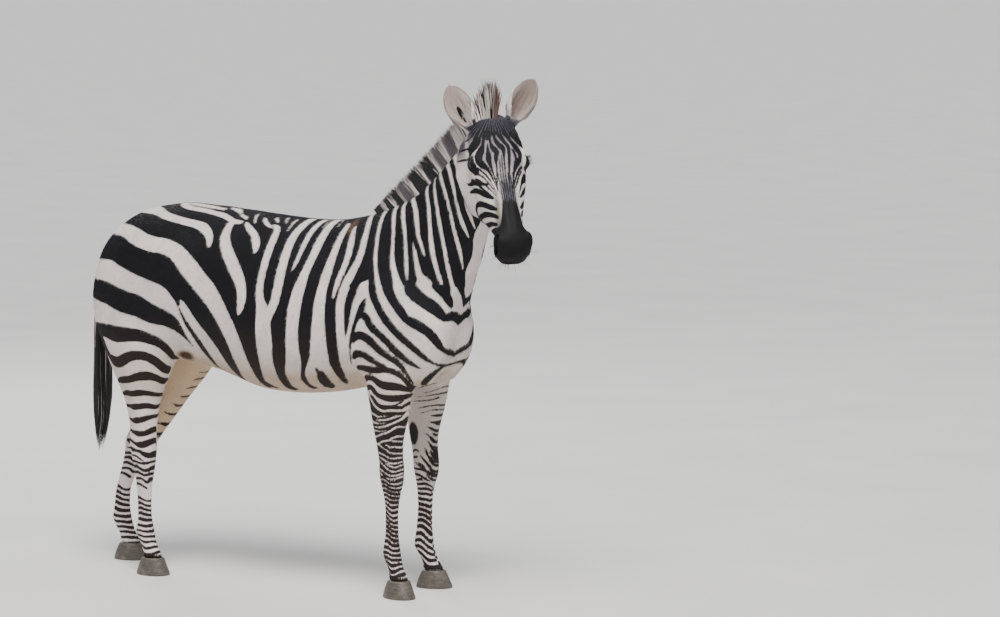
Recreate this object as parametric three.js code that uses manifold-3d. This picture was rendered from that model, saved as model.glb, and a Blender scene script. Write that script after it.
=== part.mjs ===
// A plains zebra, standing square in front with one hind foot set back, the
// head turned to its right.  Millimetres, +Z up, +X towards the chest, +Y to
// the animal's left.  The flesh is modelled as lofted masses, joined, and then
// parted where a person would name its parts.
import * as THREE from 'three';
import { mergeVertices } from 'three/addons/utils/BufferGeometryUtils.js';
import Module from 'manifold-3d';

const wasm = await Module();
wasm.setup();

// ---- driving dimensions -------------------------------------------------
const PART_GAP = 0.8;              // how far a neighbour is grown before it is cut away
const CUT = 0.3;                   // half the width of a plane cut

const FORE_FOOT_X = 388;           // cannon of both fore legs
const HIND_FOOT_X = -605;          // cannon of the right hind leg
const LEFT_HIND_SETBACK = 250;     // how much further back the left hind foot stands
const LEFT_HOCK_STRETCH = 30;      // its slanting shank makes the hock longer at one level
const SETBACK_TOP = 760;           // the swing of that leg starts here
const SETBACK_FULL = 200;          // and is complete here
const RIGHT_FORE_TOE_OUT = 20;     // degrees
const LEFT_FORE_TOE_OUT = 10;
const HIND_TOE_OUT = 8;
const CORONET_HEIGHT = 60;         // top of the hoof
const HOOF_GAP = 0.6;

const POLL = new THREE.Vector3(759, -100, 1632);
const HEAD_YAW = -47;              // degrees, to the animal's right
const HEAD_PITCH = 57.5;           // degrees below the horizontal
const HEAD_ROLL = 2.5;
const HEAD_LENGTH = 506;
const EYE_RADIUS = 20.5;
const EYE_ALONG = 166;             // from the poll towards the muzzle
const EYE_BELOW = -36;             // below the plane of the forehead
const EYE_APART = 82;              // centre of the eyeball from the midline
const EAR_LENGTH = 160;
const MANE_HEIGHT = 84;

// ---- helpers --------------------------------------------------------------
const radians = THREE.MathUtils.degToRad;
const signedPower = (value, power) => Math.sign(value) * Math.abs(value) ** power;

/** Catmull-Rom through rows of numbers; `steps` rings in each span. */
function smoothRows(rows, steps) {
  const result = [];
  for (let span = 0; span < rows.length - 1; span += 1) {
    const before = rows[Math.max(span - 1, 0)];
    const from = rows[span];
    const to = rows[span + 1];
    const after = rows[Math.min(span + 2, rows.length - 1)];
    for (let step = 0; step < steps; step += 1) {
      const t = step / steps;
      result.push(from.map((value, column) => {
        const slopeIn = (to[column] - before[column]) / 2;
        const slopeOut = (after[column] - value) / 2;
        const t2 = t * t;
        const t3 = t2 * t;
        return (2 * t3 - 3 * t2 + 1) * value + (t3 - 2 * t2 + t) * slopeIn
          + (3 * t2 - 2 * t3) * to[column] + (t3 - t2) * slopeOut;
      }));
    }
  }
  result.push(rows[rows.length - 1]);
  return result;
}

/** A closed body through rings of points, each end closed by a fan. */
function loft(rings) {
  const count = rings[0].length;
  const positions = [];
  const indices = [];
  for (const ring of rings) {
    for (const point of ring) positions.push(point.x, point.y, point.z);
  }
  const addCentre = (ring) => {
    const centre = ring.reduce((sum, point) => sum.add(point), new THREE.Vector3()).divideScalar(count);
    positions.push(centre.x, centre.y, centre.z);
    return positions.length / 3 - 1;
  };
  const first = addCentre(rings[0]);
  const last = addCentre(rings[rings.length - 1]);
  const lastStart = (rings.length - 1) * count;
  for (let side = 0; side < count; side += 1) {
    const next = (side + 1) % count;
    for (let row = 0; row < rings.length - 1; row += 1) {
      const low = row * count;
      const high = low + count;
      indices.push(low + side, low + next, high + side);
      indices.push(low + next, high + next, high + side);
    }
    indices.push(first, next, side);
    indices.push(last, lastStart + side, lastStart + next);
  }
  const geometry = new THREE.BufferGeometry();
  geometry.setAttribute('position', new THREE.Float32BufferAttribute(positions, 3));
  geometry.setIndex(indices);
  return geometry;
}

function toSolid(geometry) {
  const bare = geometry.clone();
  bare.deleteAttribute('normal');
  bare.deleteAttribute('uv');
  const merged = mergeVertices(bare, 1e-3);
  const solid = new wasm.Manifold(new wasm.Mesh({
    numProp: 3,
    vertProperties: new Float32Array(merged.attributes.position.array),
    triVerts: new Uint32Array(merged.index.array),
  }));
  if (solid.volume() > 0) return solid;
  const flipped = new Uint32Array(merged.index.array);
  for (let corner = 0; corner < flipped.length; corner += 3) {
    [flipped[corner], flipped[corner + 1]] = [flipped[corner + 1], flipped[corner]];
  }
  return new wasm.Manifold(new wasm.Mesh({
    numProp: 3,
    vertProperties: new Float32Array(merged.attributes.position.array),
    triVerts: flipped,
  }));
}

function fromSolid(solid) {
  const mesh = solid.getMesh();
  const geometry = new THREE.BufferGeometry();
  const positions = Array.from(mesh.vertProperties);
  geometry.setAttribute('position', new THREE.Float32BufferAttribute(positions, 3));
  geometry.setIndex(Array.from(mesh.triVerts));
  return geometry;
}

const joinAll = (solids) => solids.reduce((sum, solid) => sum.add(solid));

/** A large block whose one face is the plane through `point`; it fills the side that `normal` points to. */
function halfSpace(point, normal, shift = 0) {
  const size = 4000;
  const block = new THREE.BoxGeometry(size, size, size);
  block.translate(0, 0, size / 2 + shift);
  const upright = new THREE.Vector3(0, 0, 1);
  block.applyQuaternion(new THREE.Quaternion().setFromUnitVectors(upright, normal.clone().normalize()));
  block.translate(point.x, point.y, point.z);
  return toSolid(block);
}

function ellipsoid(centre, radii, columns = 16, rows = 10) {
  const ball = new THREE.SphereGeometry(1, columns, rows);
  ball.scale(...radii);
  ball.translate(...centre);
  return ball;
}

// ---- trunk ------------------------------------------------------------------
// x, top, bottom, half width, height of the widest level, sharpness above, below
const TRUNK = [
  [-818, 1095, 1000, 60, 1045, 1.0, 1.0],
  [-796, 1153, 925, 130, 1040, 1.0, 1.0],
  [-742, 1222, 840, 190, 1030, 0.95, 1.0],
  [-640, 1280, 775, 226, 1020, 0.92, 0.9],
  [-480, 1303, 745, 246, 1030, 0.9, 0.85],
  [-310, 1292, 714, 243, 960, 0.95, 0.9],
  [-150, 1276, 660, 260, 915, 1.0, 0.95],
  [0, 1263, 655, 264, 900, 1.02, 0.95],
  [130, 1262, 667, 248, 900, 1.08, 0.95],
  [250, 1285, 692, 222, 915, 1.25, 0.95],
  [360, 1280, 704, 196, 930, 1.35, 0.9],
  [450, 1215, 716, 172, 930, 1.15, 0.9],
  [520, 1120, 750, 138, 930, 1.0, 0.95],
  [552, 1040, 800, 92, 925, 1.0, 1.0],
  [562, 990, 860, 45, 925, 1.0, 1.0],
];
const TRUNK_SIDES = 26;

// Swellings and hollows of the flank: x, z, length, height of the patch, rise
const MUSCLES = [
  [395, 940, 120, 170, 20],        // shoulder
  [235, 1010, 80, 160, -8],        // hollow behind the shoulder
  [-450, 1130, 100, 90, 10],       // point of the hip
  [-335, 930, 90, 140, -12],       // hollow of the flank
  [-640, 990, 150, 150, 14],       // haunch
];

function muscleRise(x, z) {
  return MUSCLES.reduce((sum, [atX, atZ, length, height, rise]) => (
    sum + rise * Math.exp(-(((x - atX) / length) ** 2) - ((z - atZ) / height) ** 2)), 0);
}

function trunkGeometry() {
  const rings = TRUNK.map(([x, top, bottom, half, level, above, below]) => {
    const ring = [];
    for (let side = 0; side < TRUNK_SIDES; side += 1) {
      const angle = (2 * Math.PI * side) / TRUNK_SIDES;
      const up = Math.sin(angle);
      const out = signedPower(Math.cos(angle), up > 0 ? above : below);
      const z = level + up * (up > 0 ? top - level : level - bottom);
      const rise = muscleRise(x, z) * Math.cos(angle);
      ring.push(new THREE.Vector3(x, half * out + rise, z));
    }
    return ring;
  });
  return loft(rings);
}

// The two breast muscles meet in a groove.
const BREAST = { centre: [481, 74, 890], radii: [112, 100, 178] };

function pairOf(mass) {
  return [1, -1].map((side) => {
    const [x, y, z] = mass.centre;
    return toSolid(ellipsoid([x, side * y, z], mass.radii));
  });
}

// ---- neck -------------------------------------------------------------------
// crest x, crest z, throat x, throat z, sideways shift, half width, crest sharpness
const NECK = [
  [190, 1270, 510, 840, 0, 140, 1.2],
  [300, 1303, 598, 960, 0, 140, 1.3],
  [405, 1345, 632, 1075, -3, 118, 1.35],
  [500, 1413, 660, 1178, -16, 98, 1.35],
  [585, 1487, 700, 1278, -40, 86, 1.25],
  [665, 1553, 742, 1368, -72, 78, 1.1],
  [735, 1604, 778, 1448, -110, 68, 1.0],
];
const NECK_SIDES = 20;
const NECK_WIDEST = 0.52;          // where it is widest, as a share of the way from crest to throat
const NECK_THROAT_SHARPNESS = 0.9;

function neckRing([crestX, crestZ, throatX, throatZ, shift, half, sharp], heading, grow = 0) {
  const crest = new THREE.Vector3(crestX, shift, crestZ);
  const throat = new THREE.Vector3(throatX, shift, throatZ);
  const middle = crest.clone().lerp(throat, NECK_WIDEST);
  const up = crest.clone().sub(middle);
  const down = throat.clone().sub(middle);
  up.setLength(up.length() + grow);
  down.setLength(down.length() + grow);
  const sideways = new THREE.Vector3(-Math.sin(heading), Math.cos(heading), 0);
  const ring = [];
  for (let side = 0; side < NECK_SIDES; side += 1) {
    const angle = (2 * Math.PI * side) / NECK_SIDES;
    const rise = Math.sin(angle);
    const out = signedPower(Math.cos(angle), rise > 0 ? sharp : NECK_THROAT_SHARPNESS) * (half + grow);
    const point = middle.clone().addScaledVector(sideways, out);
    point.addScaledVector(rise > 0 ? up : down, Math.abs(rise));
    ring.push(point);
  }
  return ring;
}

const NECK_ROWS = smoothRows(NECK, 2);

function neckHeading(index) {
  const from = NECK_ROWS[Math.max(index - 1, 0)];
  const to = NECK_ROWS[Math.min(index + 1, NECK_ROWS.length - 1)];
  const forward = (to[0] + to[2] - from[0] - from[2]) / 2;
  return Math.atan2(to[4] - from[4], forward);
}

function neckGeometry(grow = 0) {
  return loft(NECK_ROWS.map((row, index) => neckRing(row, neckHeading(index), grow)));
}

// ---- head -------------------------------------------------------------------
// Its own axes: u from the poll to the muzzle, v out of the forehead, w to the
// animal's left.  The origin is on the midline of the poll.
function headMatrix() {
  const yaw = radians(HEAD_YAW);
  const pitch = radians(HEAD_PITCH);
  const facing = new THREE.Vector3(Math.cos(yaw), Math.sin(yaw), 0);
  const along = facing.clone().multiplyScalar(Math.cos(pitch));
  along.z = -Math.sin(pitch);
  const outward = facing.clone().multiplyScalar(Math.sin(pitch));
  outward.z = Math.cos(pitch);
  const left = new THREE.Vector3(-Math.sin(yaw), Math.cos(yaw), 0);
  const roll = new THREE.Matrix4().makeRotationAxis(facing, radians(HEAD_ROLL));
  const basis = new THREE.Matrix4().makeBasis(along, outward, left);
  return new THREE.Matrix4().setPosition(POLL).multiply(roll).multiply(basis);
}

const TO_BODY = headMatrix();
const inBody = (u, v, w) => new THREE.Vector3(u, v, w).applyMatrix4(TO_BODY);

// u, forehead v, widest v, jaw v, half width, sharpness above, below
const HEAD = [
  [-24, -34, -70, -120, 30, 1.0, 1.0],
  [-6, -6, -62, -146, 56, 0.9, 1.0],
  [44, 12, -54, -190, 83, 0.8, 0.95],
  [98, 17, -50, -226, 95, 0.75, 0.9],
  [150, 16, -50, -243, 95, 0.72, 0.85],
  [196, 11, -58, -248, 92, 0.75, 0.8],
  [246, 3, -68, -242, 83, 0.8, 0.78],
  [300, -5, -70, -216, 69, 0.85, 0.8],
  [352, -10, -66, -181, 55, 0.85, 0.85],
  [398, -13, -60, -149, 46, 0.85, 0.85],
  [434, -11, -64, -132, 54, 0.8, 0.85],
  [460, -16, -70, -130, 60, 0.8, 0.8],
  [485, -27, -76, -127, 55, 0.85, 0.85],
  [500, -44, -82, -117, 42, 0.95, 0.95],
  [HEAD_LENGTH, -64, -86, -104, 20, 1.0, 1.0],
];
const HEAD_SIDES = 20;

function headRing([u, top, level, bottom, half, above, below], grow) {
  const ring = [];
  for (let side = 0; side < HEAD_SIDES; side += 1) {
    const angle = (2 * Math.PI * side) / HEAD_SIDES;
    const rise = Math.sin(angle);
    const out = signedPower(Math.cos(angle), rise > 0 ? above : below) * (half + grow);
    const reach = (rise > 0 ? top - level : level - bottom) + grow;
    ring.push(inBody(u, level + rise * reach, out));
  }
  return ring;
}

function headMass(centre, radii, side, grow) {
  const grown = radii.map((radius) => radius + grow);
  const [u, v, w] = centre;
  const ball = ellipsoid([u, v, side * w], grown, 12, 7);
  ball.applyMatrix4(TO_BODY);
  return toSolid(ball);
}

// Brow and socket, jowl, nostril wing, and the two lips.
const BROW = { centre: [160, -34, 68], radii: [46, 36, 29] };
const JOWL = { centre: [196, -162, 52], radii: [98, 86, 44] };
const NOSTRIL = { centre: [446, -54, 38], radii: [40, 34, 28] };
const LOWER_LIP = { centre: [466, -122, 14], radii: [30, 22, 28] };

function headSolid(grow = 0) {
  const rings = HEAD.map((row) => headRing(row, grow));
  const solids = [toSolid(loft(rings))];
  for (const mass of [BROW, JOWL, NOSTRIL, LOWER_LIP]) {
    for (const side of [1, -1]) solids.push(headMass(mass.centre, mass.radii, side, grow));
  }
  return joinAll(solids);
}

function eyeBall(side, grow = 0) {
  const ball = new THREE.SphereGeometry(EYE_RADIUS + grow, 14, 9);
  const centre = inBody(EYE_ALONG, EYE_BELOW, side * EYE_APART);
  ball.translate(centre.x, centre.y, centre.z);
  return ball;
}

// ---- ears -------------------------------------------------------------------
// How far along, half width, how far the cup closes (degrees either side), depth of the cup's back
const EAR = [
  [-0.06, 0.11, 150, 0.11],
  [0.08, 0.19, 150, 0.17],
  [0.24, 0.285, 134, 0.21],
  [0.42, 0.315, 114, 0.20],
  [0.60, 0.315, 95, 0.165],
  [0.78, 0.25, 84, 0.11],
  [0.91, 0.16, 76, 0.06],
  [0.985, 0.055, 70, 0.025],
];
const EAR_THICKNESS = 5.5;
const EAR_THICKEST = 0.45;         // of the half width, where the ear is narrow
const EAR_ARC = 8;                 // points along the outside of the cup

/**
 * base, tip direction and opening direction are given in the body's axes; a
 * grown ear has its cup filled, to clear a place for the ear in a neighbour.
 */
function earGeometry({ base, axis, opening }, grow = 0) {
  const along = axis.clone().normalize();
  const open = opening.clone().addScaledVector(along, -opening.dot(along)).normalize();
  const across = new THREE.Vector3().crossVectors(along, open);
  const rings = EAR.map(([share, half, closing, depth]) => {
    const width = half * EAR_LENGTH + grow;
    const back = depth * EAR_LENGTH + grow;
    const outer = [];
    const inner = [];
    for (let step = 0; step < EAR_ARC; step += 1) {
      const angle = radians(-closing + (2 * closing * step) / (EAR_ARC - 1));
      const thickness = Math.min(EAR_THICKNESS, width * EAR_THICKEST);
      const place = (shrink) => base.clone()
        .addScaledVector(along, share * EAR_LENGTH)
        .addScaledVector(across, (width - shrink) * Math.sin(angle))
        .addScaledVector(open, -(back - shrink) * Math.cos(angle));
      outer.push(place(0));
      inner.push(place(thickness));
    }
    return grow > 0 ? outer : [...outer, ...inner.reverse()];
  });
  return loft(rings);
}

const RIGHT_EAR = {
  base: inBody(34, -26, -66),
  axis: new THREE.Vector3(-0.54, 0.05, 0.83),
  opening: new THREE.Vector3(0.40, -0.91, 0.10),
};
const LEFT_EAR = {
  base: inBody(22, -22, 66),
  axis: new THREE.Vector3(0.42, 0.20, 0.87),
  opening: new THREE.Vector3(0.72, -0.62, 0.0),
};

// ---- legs -------------------------------------------------------------------
// z, back, front, half width, sideways place, how much wider the front is
const FORE_LEG = [
  [900, -95, 60, 50, 108, 0],
  [830, -104, 90, 72, 116, 0],
  [770, -97, 92, 80, 122, 0],
  [712, -87, 84, 73, 125, 0],
  [650, -80, 74, 60, 123, 0.05],
  [605, -77, 64, 52, 122, 0.1],
  [562, -72, 52, 45, 121, 0.1],
  [519, -64, 43, 41, 120, 0.1],
  [475, -54, 43, 40, 119, 0.05],
  [431, -48, 48, 42, 118, 0],
  [389, -44, 46, 39, 118, 0],
  [354, -37, 35, 31, 117, 0],
  [315, -34, 28, 23, 116, 0],
  [260, -34, 26, 20, 115, 0],
  [200, -37, 27, 21, 114, 0],
  [165, -43, 31, 27, 113, 0],
  [138, -43, 33, 30, 112, 0],
  [110, -26, 42, 27, 112, 0],
  [85, -10, 53, 27, 112, 0],
  [CORONET_HEIGHT, -8, 68, 33, 112, 0],
];
const HIND_LEG = [
  [1135, -130, 90, 50, 112, 0.2],
  [1050, -200, 160, 96, 118, 0.2],
  [965, -213, 186, 112, 124, 0.2],
  [880, -190, 186, 112, 130, 0.2],
  [797, -148, 150, 98, 136, 0.15],
  [735, -118, 129, 85, 139, 0.1],
  [680, -90, 104, 73, 140, 0.1],
  [637, -72, 84, 63, 138, 0.1],
  [600, -61, 70, 55, 136, 0.15],
  [550, -57, 61, 46, 132, 0.25],
  [505, -61, 57, 39, 128, 0.35],
  [466, -66, 52, 37, 125, 0.4],
  [430, -58, 51, 38, 123, 0.25],
  [390, -50, 47, 34, 121, 0.1],
  [348, -44, 39, 27, 119, 0.05],
  [300, -39, 30, 22, 117, 0],
  [243, -37, 27, 20, 115, 0],
  [190, -38, 29, 22, 114, 0],
  [150, -44, 35, 29, 113, 0],
  [115, -30, 43, 27, 113, 0],
  [88, -12, 54, 27, 113, 0],
  [CORONET_HEIGHT, -8, 70, 33, 113, 0],
];
// z, back, front and half width of a hoof; the first row is the sole
const HOOF = [
  [0, -34, 96, 46],
  [6, -34, 95, 46],
  [32, -25, 83, 41],
  [CORONET_HEIGHT - HOOF_GAP, -12, 71, 35],
];
const LEG_SIDES = 14;
const TURN_TOP = 700;              // a leg's toe-out grows from here
const TURN_FULL = 430;             // to here
const HOCK_HEIGHT = 455;
const HOCK_SPAN = 60;

function legRing([z, back, front, half, place, wider], leg, grow) {
  const turn = radians(leg.toeOut) * (1 - THREE.MathUtils.smoothstep(z, TURN_FULL, TURN_TOP));
  const swing = leg.setback * (1 - THREE.MathUtils.smoothstep(z, SETBACK_FULL, SETBACK_TOP));
  const rear = back - leg.hockStretch * Math.exp(-(((z - HOCK_HEIGHT) / HOCK_SPAN) ** 2));
  const middle = (front + rear) / 2;
  const reach = (front - rear) / 2 + grow;
  const ring = [];
  for (let side = 0; side < LEG_SIDES; side += 1) {
    const angle = (2 * Math.PI * side) / LEG_SIDES;
    const forward = middle + reach * Math.cos(angle);
    const outward = (half + grow) * Math.sin(angle) * (1 + wider * Math.cos(angle));
    const x = leg.x - swing + forward * Math.cos(turn) - outward * Math.sin(turn);
    const y = place + forward * Math.sin(turn) + outward * Math.cos(turn);
    ring.push(new THREE.Vector3(x, leg.side * y, z));
  }
  return ring;
}

function legGeometry(leg, grow = 0) {
  return loft(leg.rows.map((row) => legRing(row, leg, grow)));
}

function hoofGeometry(leg) {
  const place = leg.rows[leg.rows.length - 1][4];
  return loft(HOOF.map(([z, back, front, half]) => legRing([z, back, front, half, place, 0], leg, 0)));
}

// where a leg is parted from the trunk, under the elbow and across the thigh
const FORE_PLANE = { point: new THREE.Vector3(FORE_FOOT_X, 0, 775), normal: new THREE.Vector3(-0.1, 0, -1) };
const HIND_PLANE = { point: new THREE.Vector3(HIND_FOOT_X, 0, 890), normal: new THREE.Vector3(0.22, 0, -1) };

const STRAIGHT = { setback: 0, hockStretch: 0 };
const FORE = { rows: FORE_LEG, x: FORE_FOOT_X, plane: FORE_PLANE };
const HIND = { rows: HIND_LEG, x: HIND_FOOT_X, plane: HIND_PLANE, toeOut: HIND_TOE_OUT };
const SET_BACK = { setback: LEFT_HIND_SETBACK, hockStretch: LEFT_HOCK_STRETCH };
const LEGS = [
  { name: 'fore_left', side: 1, toeOut: LEFT_FORE_TOE_OUT, ...FORE, ...STRAIGHT },
  { name: 'fore_right', side: -1, toeOut: RIGHT_FORE_TOE_OUT, ...FORE, ...STRAIGHT },
  { name: 'hind_left', side: 1, ...HIND, ...SET_BACK },
  { name: 'hind_right', side: -1, ...HIND, ...STRAIGHT },
];

// ---- tail -------------------------------------------------------------------
// x, z, half width, half depth
const TAIL = [
  [-772, 1150, 22, 22],
  [-812, 1128, 26, 25],
  [-842, 1085, 24, 23],
  [-858, 1010, 21, 20],
  [-862, 930, 20, 19],
  [-862, 850, 26, 23],
  [-860, 760, 33, 28],
  [-860, 670, 38, 31],
  [-860, 590, 38, 30],
  [-864, 510, 30, 24],
  [-870, 440, 18, 14],
  [-876, 398, 6, 5],
];
const TAIL_SIDES = 12;

function tailGeometry() {
  return loft(TAIL.map(([x, z, half, depth], index) => {
    const from = TAIL[Math.max(index - 1, 0)];
    const to = TAIL[Math.min(index + 1, TAIL.length - 1)];
    const along = new THREE.Vector3(to[0] - from[0], 0, to[1] - from[1]).normalize();
    const across = new THREE.Vector3(-along.z, 0, along.x);
    const ring = [];
    for (let side = 0; side < TAIL_SIDES; side += 1) {
      const angle = (2 * Math.PI * side) / TAIL_SIDES;
      const point = new THREE.Vector3(x, half * Math.sin(angle), z);
      ring.push(point.addScaledVector(across, depth * Math.cos(angle)));
    }
    return ring;
  }));
}

// ---- mane -------------------------------------------------------------------
// Place along the neck's rows, height of the hair over the crest, half thickness at the root
const MANE = [
  [1.4, 0.12, 13],
  [2.2, 0.42, 16],
  [3.6, 0.82, 18],
  [5.4, 1.0, 19],
  [7.6, 1.0, 19],
  [9.8, 1.0, 15],
  [11.4, 1.05, 13],
];
const FORELOCK = { u: -4, v: -4, height: 1.5, half: 15 };
const FORELOCK_TIP = { u: 26, v: -6, height: 1.2, half: 11 };
const FORELOCK_LEAN = { u: -0.78, v: 0.62 };
const MANE_ROOT = -16;             // how deep the wall of hair starts under the crest
// share of the height, share of the half thickness
const MANE_SECTION = [[0.35, 1.0], [0.8, 0.7], [1, 0.25]];
const MANE_ROOT_SHARE = 0.9;

function maneRing(root, up, sideways, height, half) {
  const hair = MANE_SECTION.map(([rise, share]) => [rise * height, share]);
  const levels = [[MANE_ROOT, MANE_ROOT_SHARE], ...hair];
  const onSide = (side) => levels.map(([rise, share]) => (
    root.clone().addScaledVector(up, rise).addScaledVector(sideways, side * half * share)));
  return [...onSide(1), ...onSide(-1).reverse()];
}

function maneGeometry() {
  const rings = [];
  for (const [place, height, half] of MANE) {
    const low = Math.floor(place);
    const share = place - low;
    const next = NECK_ROWS[low + 1];
    const row = NECK_ROWS[low].map((value, column) => value + (next[column] - value) * share);
    const heading = neckHeading(low);
    const crest = new THREE.Vector3(row[0], row[4], row[1]);
    const throat = new THREE.Vector3(row[2], row[4], row[3]);
    const up = crest.clone().sub(throat).normalize();
    const sideways = new THREE.Vector3(-Math.sin(heading), Math.cos(heading), 0);
    rings.push(maneRing(crest, up, sideways, height * MANE_HEIGHT, half));
  }
  const left = inBody(0, 0, 1).sub(inBody(0, 0, 0));
  for (const lock of [FORELOCK, FORELOCK_TIP]) {
    const up = inBody(FORELOCK_LEAN.u, FORELOCK_LEAN.v, 0).sub(inBody(0, 0, 0)).normalize();
    rings.push(maneRing(inBody(lock.u, lock.v, 0), up, left, lock.height * MANE_HEIGHT, lock.half));
  }
  return loft(rings);
}

// ---- joining and parting --------------------------------------------------------
const NECK_PLANE = { point: new THREE.Vector3(420, 0, 1150), normal: new THREE.Vector3(0.64, 0, 0.77) };
const HEAD_PLANE = { along: 28, below: -90, tilt: 24 };

function headPlane() {
  const tilt = radians(HEAD_PLANE.tilt);
  const origin = inBody(0, 0, 0);
  return {
    point: inBody(HEAD_PLANE.along, HEAD_PLANE.below, 0),
    normal: inBody(Math.cos(tilt), Math.sin(tilt), 0).sub(origin),
  };
}

/** The largest body of a cut, without the crumbs that a grazing cut can leave. */
function mainBody(solid) {
  const bodies = solid.decompose();
  return bodies.reduce((best, body) => (body.volume() > best.volume() ? body : best));
}

const group = new THREE.Group();
const HIDE = { color: 0xb9b0ae, roughness: 0.75, metalness: 0 };
const BLACK_HAIR = { color: 0x1c181b, roughness: 0.7, metalness: 0 };
const HORN = { color: 0x3a322d, roughness: 0.5, metalness: 0 };
const CORNEA = { color: 0x0d0907, roughness: 0.12, metalness: 0 };

function addPart(name, geometry, finish) {
  const mesh = new THREE.Mesh(geometry, new THREE.MeshStandardMaterial(finish));
  mesh.name = name;
  group.add(mesh);
}

const neckSolid = toSolid(neckGeometry());
const headWhole = headSolid();
const legSolids = LEGS.map((leg) => toSolid(legGeometry(leg)));
const body = joinAll([
  toSolid(trunkGeometry()),
  ...pairOf(BREAST),
  neckSolid,
  ...legSolids,
]);

const headCut = headPlane();
const headFront = halfSpace(headCut.point, headCut.normal, CUT);
const headCutter = headSolid(PART_GAP).intersect(halfSpace(headCut.point, headCut.normal, -CUT));
const eyes = [1, -1].map((side) => ({
  name: side > 0 ? 'eye_left' : 'eye_right',
  ball: eyeBall(side),
  socket: toSolid(eyeBall(side, PART_GAP)),
}));
let headPart = headWhole.intersect(headFront);
for (const eye of eyes) headPart = headPart.subtract(eye.socket);
addPart('head', fromSolid(mainBody(headPart)), HIDE);
for (const eye of eyes) addPart(eye.name, eye.ball, CORNEA);

const neckFront = halfSpace(NECK_PLANE.point, NECK_PLANE.normal, CUT);
const neckBack = halfSpace(NECK_PLANE.point, NECK_PLANE.normal.clone().negate(), CUT);
const neckMass = body.add(headWhole).intersect(neckFront).subtract(headCutter);
addPart('neck', fromSolid(mainBody(neckMass)), HIDE);

let trunkPart = body.intersect(neckBack);
LEGS.forEach((leg, index) => {
  const { point, normal } = leg.plane;
  const below = halfSpace(point, normal, CUT);
  const cutter = toSolid(legGeometry(leg, PART_GAP));
  trunkPart = trunkPart.subtract(cutter.intersect(halfSpace(point, normal, -CUT)));
  addPart(`leg_${leg.name}`, fromSolid(mainBody(legSolids[index].intersect(below))), HIDE);
  addPart(`hoof_${leg.name}`, fromSolid(toSolid(hoofGeometry(leg))), HORN);
});
trunkPart = mainBody(trunkPart);
addPart('trunk', fromSolid(trunkPart), HIDE);

const grownHead = headSolid(PART_GAP);
const grownNeck = toSolid(neckGeometry(PART_GAP));
for (const [name, ear] of [['ear_left', LEFT_EAR], ['ear_right', RIGHT_EAR]]) {
  addPart(name, fromSolid(mainBody(toSolid(earGeometry(ear)).subtract(grownHead))), HIDE);
}
let hairWall = toSolid(maneGeometry()).subtract(grownNeck).subtract(grownHead);
for (const ear of [LEFT_EAR, RIGHT_EAR]) hairWall = hairWall.subtract(toSolid(earGeometry(ear, PART_GAP)));
addPart('mane', fromSolid(mainBody(hairWall)), BLACK_HAIR);
addPart('tail', fromSolid(mainBody(toSolid(tailGeometry()).subtract(body))), BLACK_HAIR);

// the origin is the middle of the footprint of the whole animal, on the ground
group.updateMatrixWorld(true);
const box = new THREE.Box3().setFromObject(group);
group.position.set(-(box.min.x + box.max.x) / 2, -(box.min.y + box.max.y) / 2, -box.min.z);

export default group;
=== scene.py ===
"""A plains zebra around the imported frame: one skin, its coat, mane, tail, hooves and eyes.

Lengths are millimetres in the body's own axes (+X to the chest, +Y to the animal's left,
+Z up) until a mesh is made; to_world() turns them into the row's metres.
"""

import math

import bmesh
import bpy
import numpy as np
from mathutils import Matrix, Vector


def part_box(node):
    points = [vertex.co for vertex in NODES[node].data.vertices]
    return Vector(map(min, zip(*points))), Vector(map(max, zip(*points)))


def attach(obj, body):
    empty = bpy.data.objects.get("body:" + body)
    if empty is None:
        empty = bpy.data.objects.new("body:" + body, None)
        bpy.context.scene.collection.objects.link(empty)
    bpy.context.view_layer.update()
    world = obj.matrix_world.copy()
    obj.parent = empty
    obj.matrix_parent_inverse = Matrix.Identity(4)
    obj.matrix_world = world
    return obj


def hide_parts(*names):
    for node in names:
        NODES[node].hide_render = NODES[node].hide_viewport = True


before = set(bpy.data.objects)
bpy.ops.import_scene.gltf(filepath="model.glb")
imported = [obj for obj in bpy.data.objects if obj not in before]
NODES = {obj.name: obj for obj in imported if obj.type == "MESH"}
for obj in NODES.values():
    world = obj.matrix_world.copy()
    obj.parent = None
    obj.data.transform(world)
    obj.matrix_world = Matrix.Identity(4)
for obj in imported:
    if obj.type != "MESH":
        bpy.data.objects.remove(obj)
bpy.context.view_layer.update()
MM = 0.001


# ---- helpers -----------------------------------------------------------------------
def smoothstep(low, high, value):
    t = np.clip((value - low) / (high - low), 0, 1)
    return t * t * (3 - 2 * t)


def unit(vectors):
    return vectors / np.maximum(np.linalg.norm(vectors, axis=-1, keepdims=True), 1e-9)


def smooth_rows(rows, steps):
    """Catmull-Rom through rows of numbers, with `steps` rows in each span."""
    rows = np.asarray(rows, float)
    padded = np.vstack([rows[:1], rows, rows[-1:]])
    t = (np.arange(steps) / steps)[:, None]
    spans = []
    for before, low, high, after in zip(padded, padded[1:], padded[2:], padded[3:]):
        slope_in, slope_out = (high - before) / 2, (after - low) / 2
        spans.append((2 * t**3 - 3 * t**2 + 1) * low + (t**3 - 2 * t**2 + t) * slope_in
                     + (3 * t**2 - 2 * t**3) * high + (t**3 - t**2) * slope_out)
    return np.vstack([*spans, rows[-1:]])


# ---- the head's own axes -------------------------------------------------------------
# u runs from the poll to the muzzle, v out of the forehead, w to the animal's left
POLL = np.array([759.0, -100.0, 1632.0])
HEAD_YAW, HEAD_PITCH, HEAD_ROLL = -47.0, 57.5, 2.5
EYE = np.array([166.0, -36.0, 82.0])
EYE_RADIUS = 20.5
EYES = {side: EYE * [1, 1, side] for side in (1, -1)}      # 1 is the left, -1 the right


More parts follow.
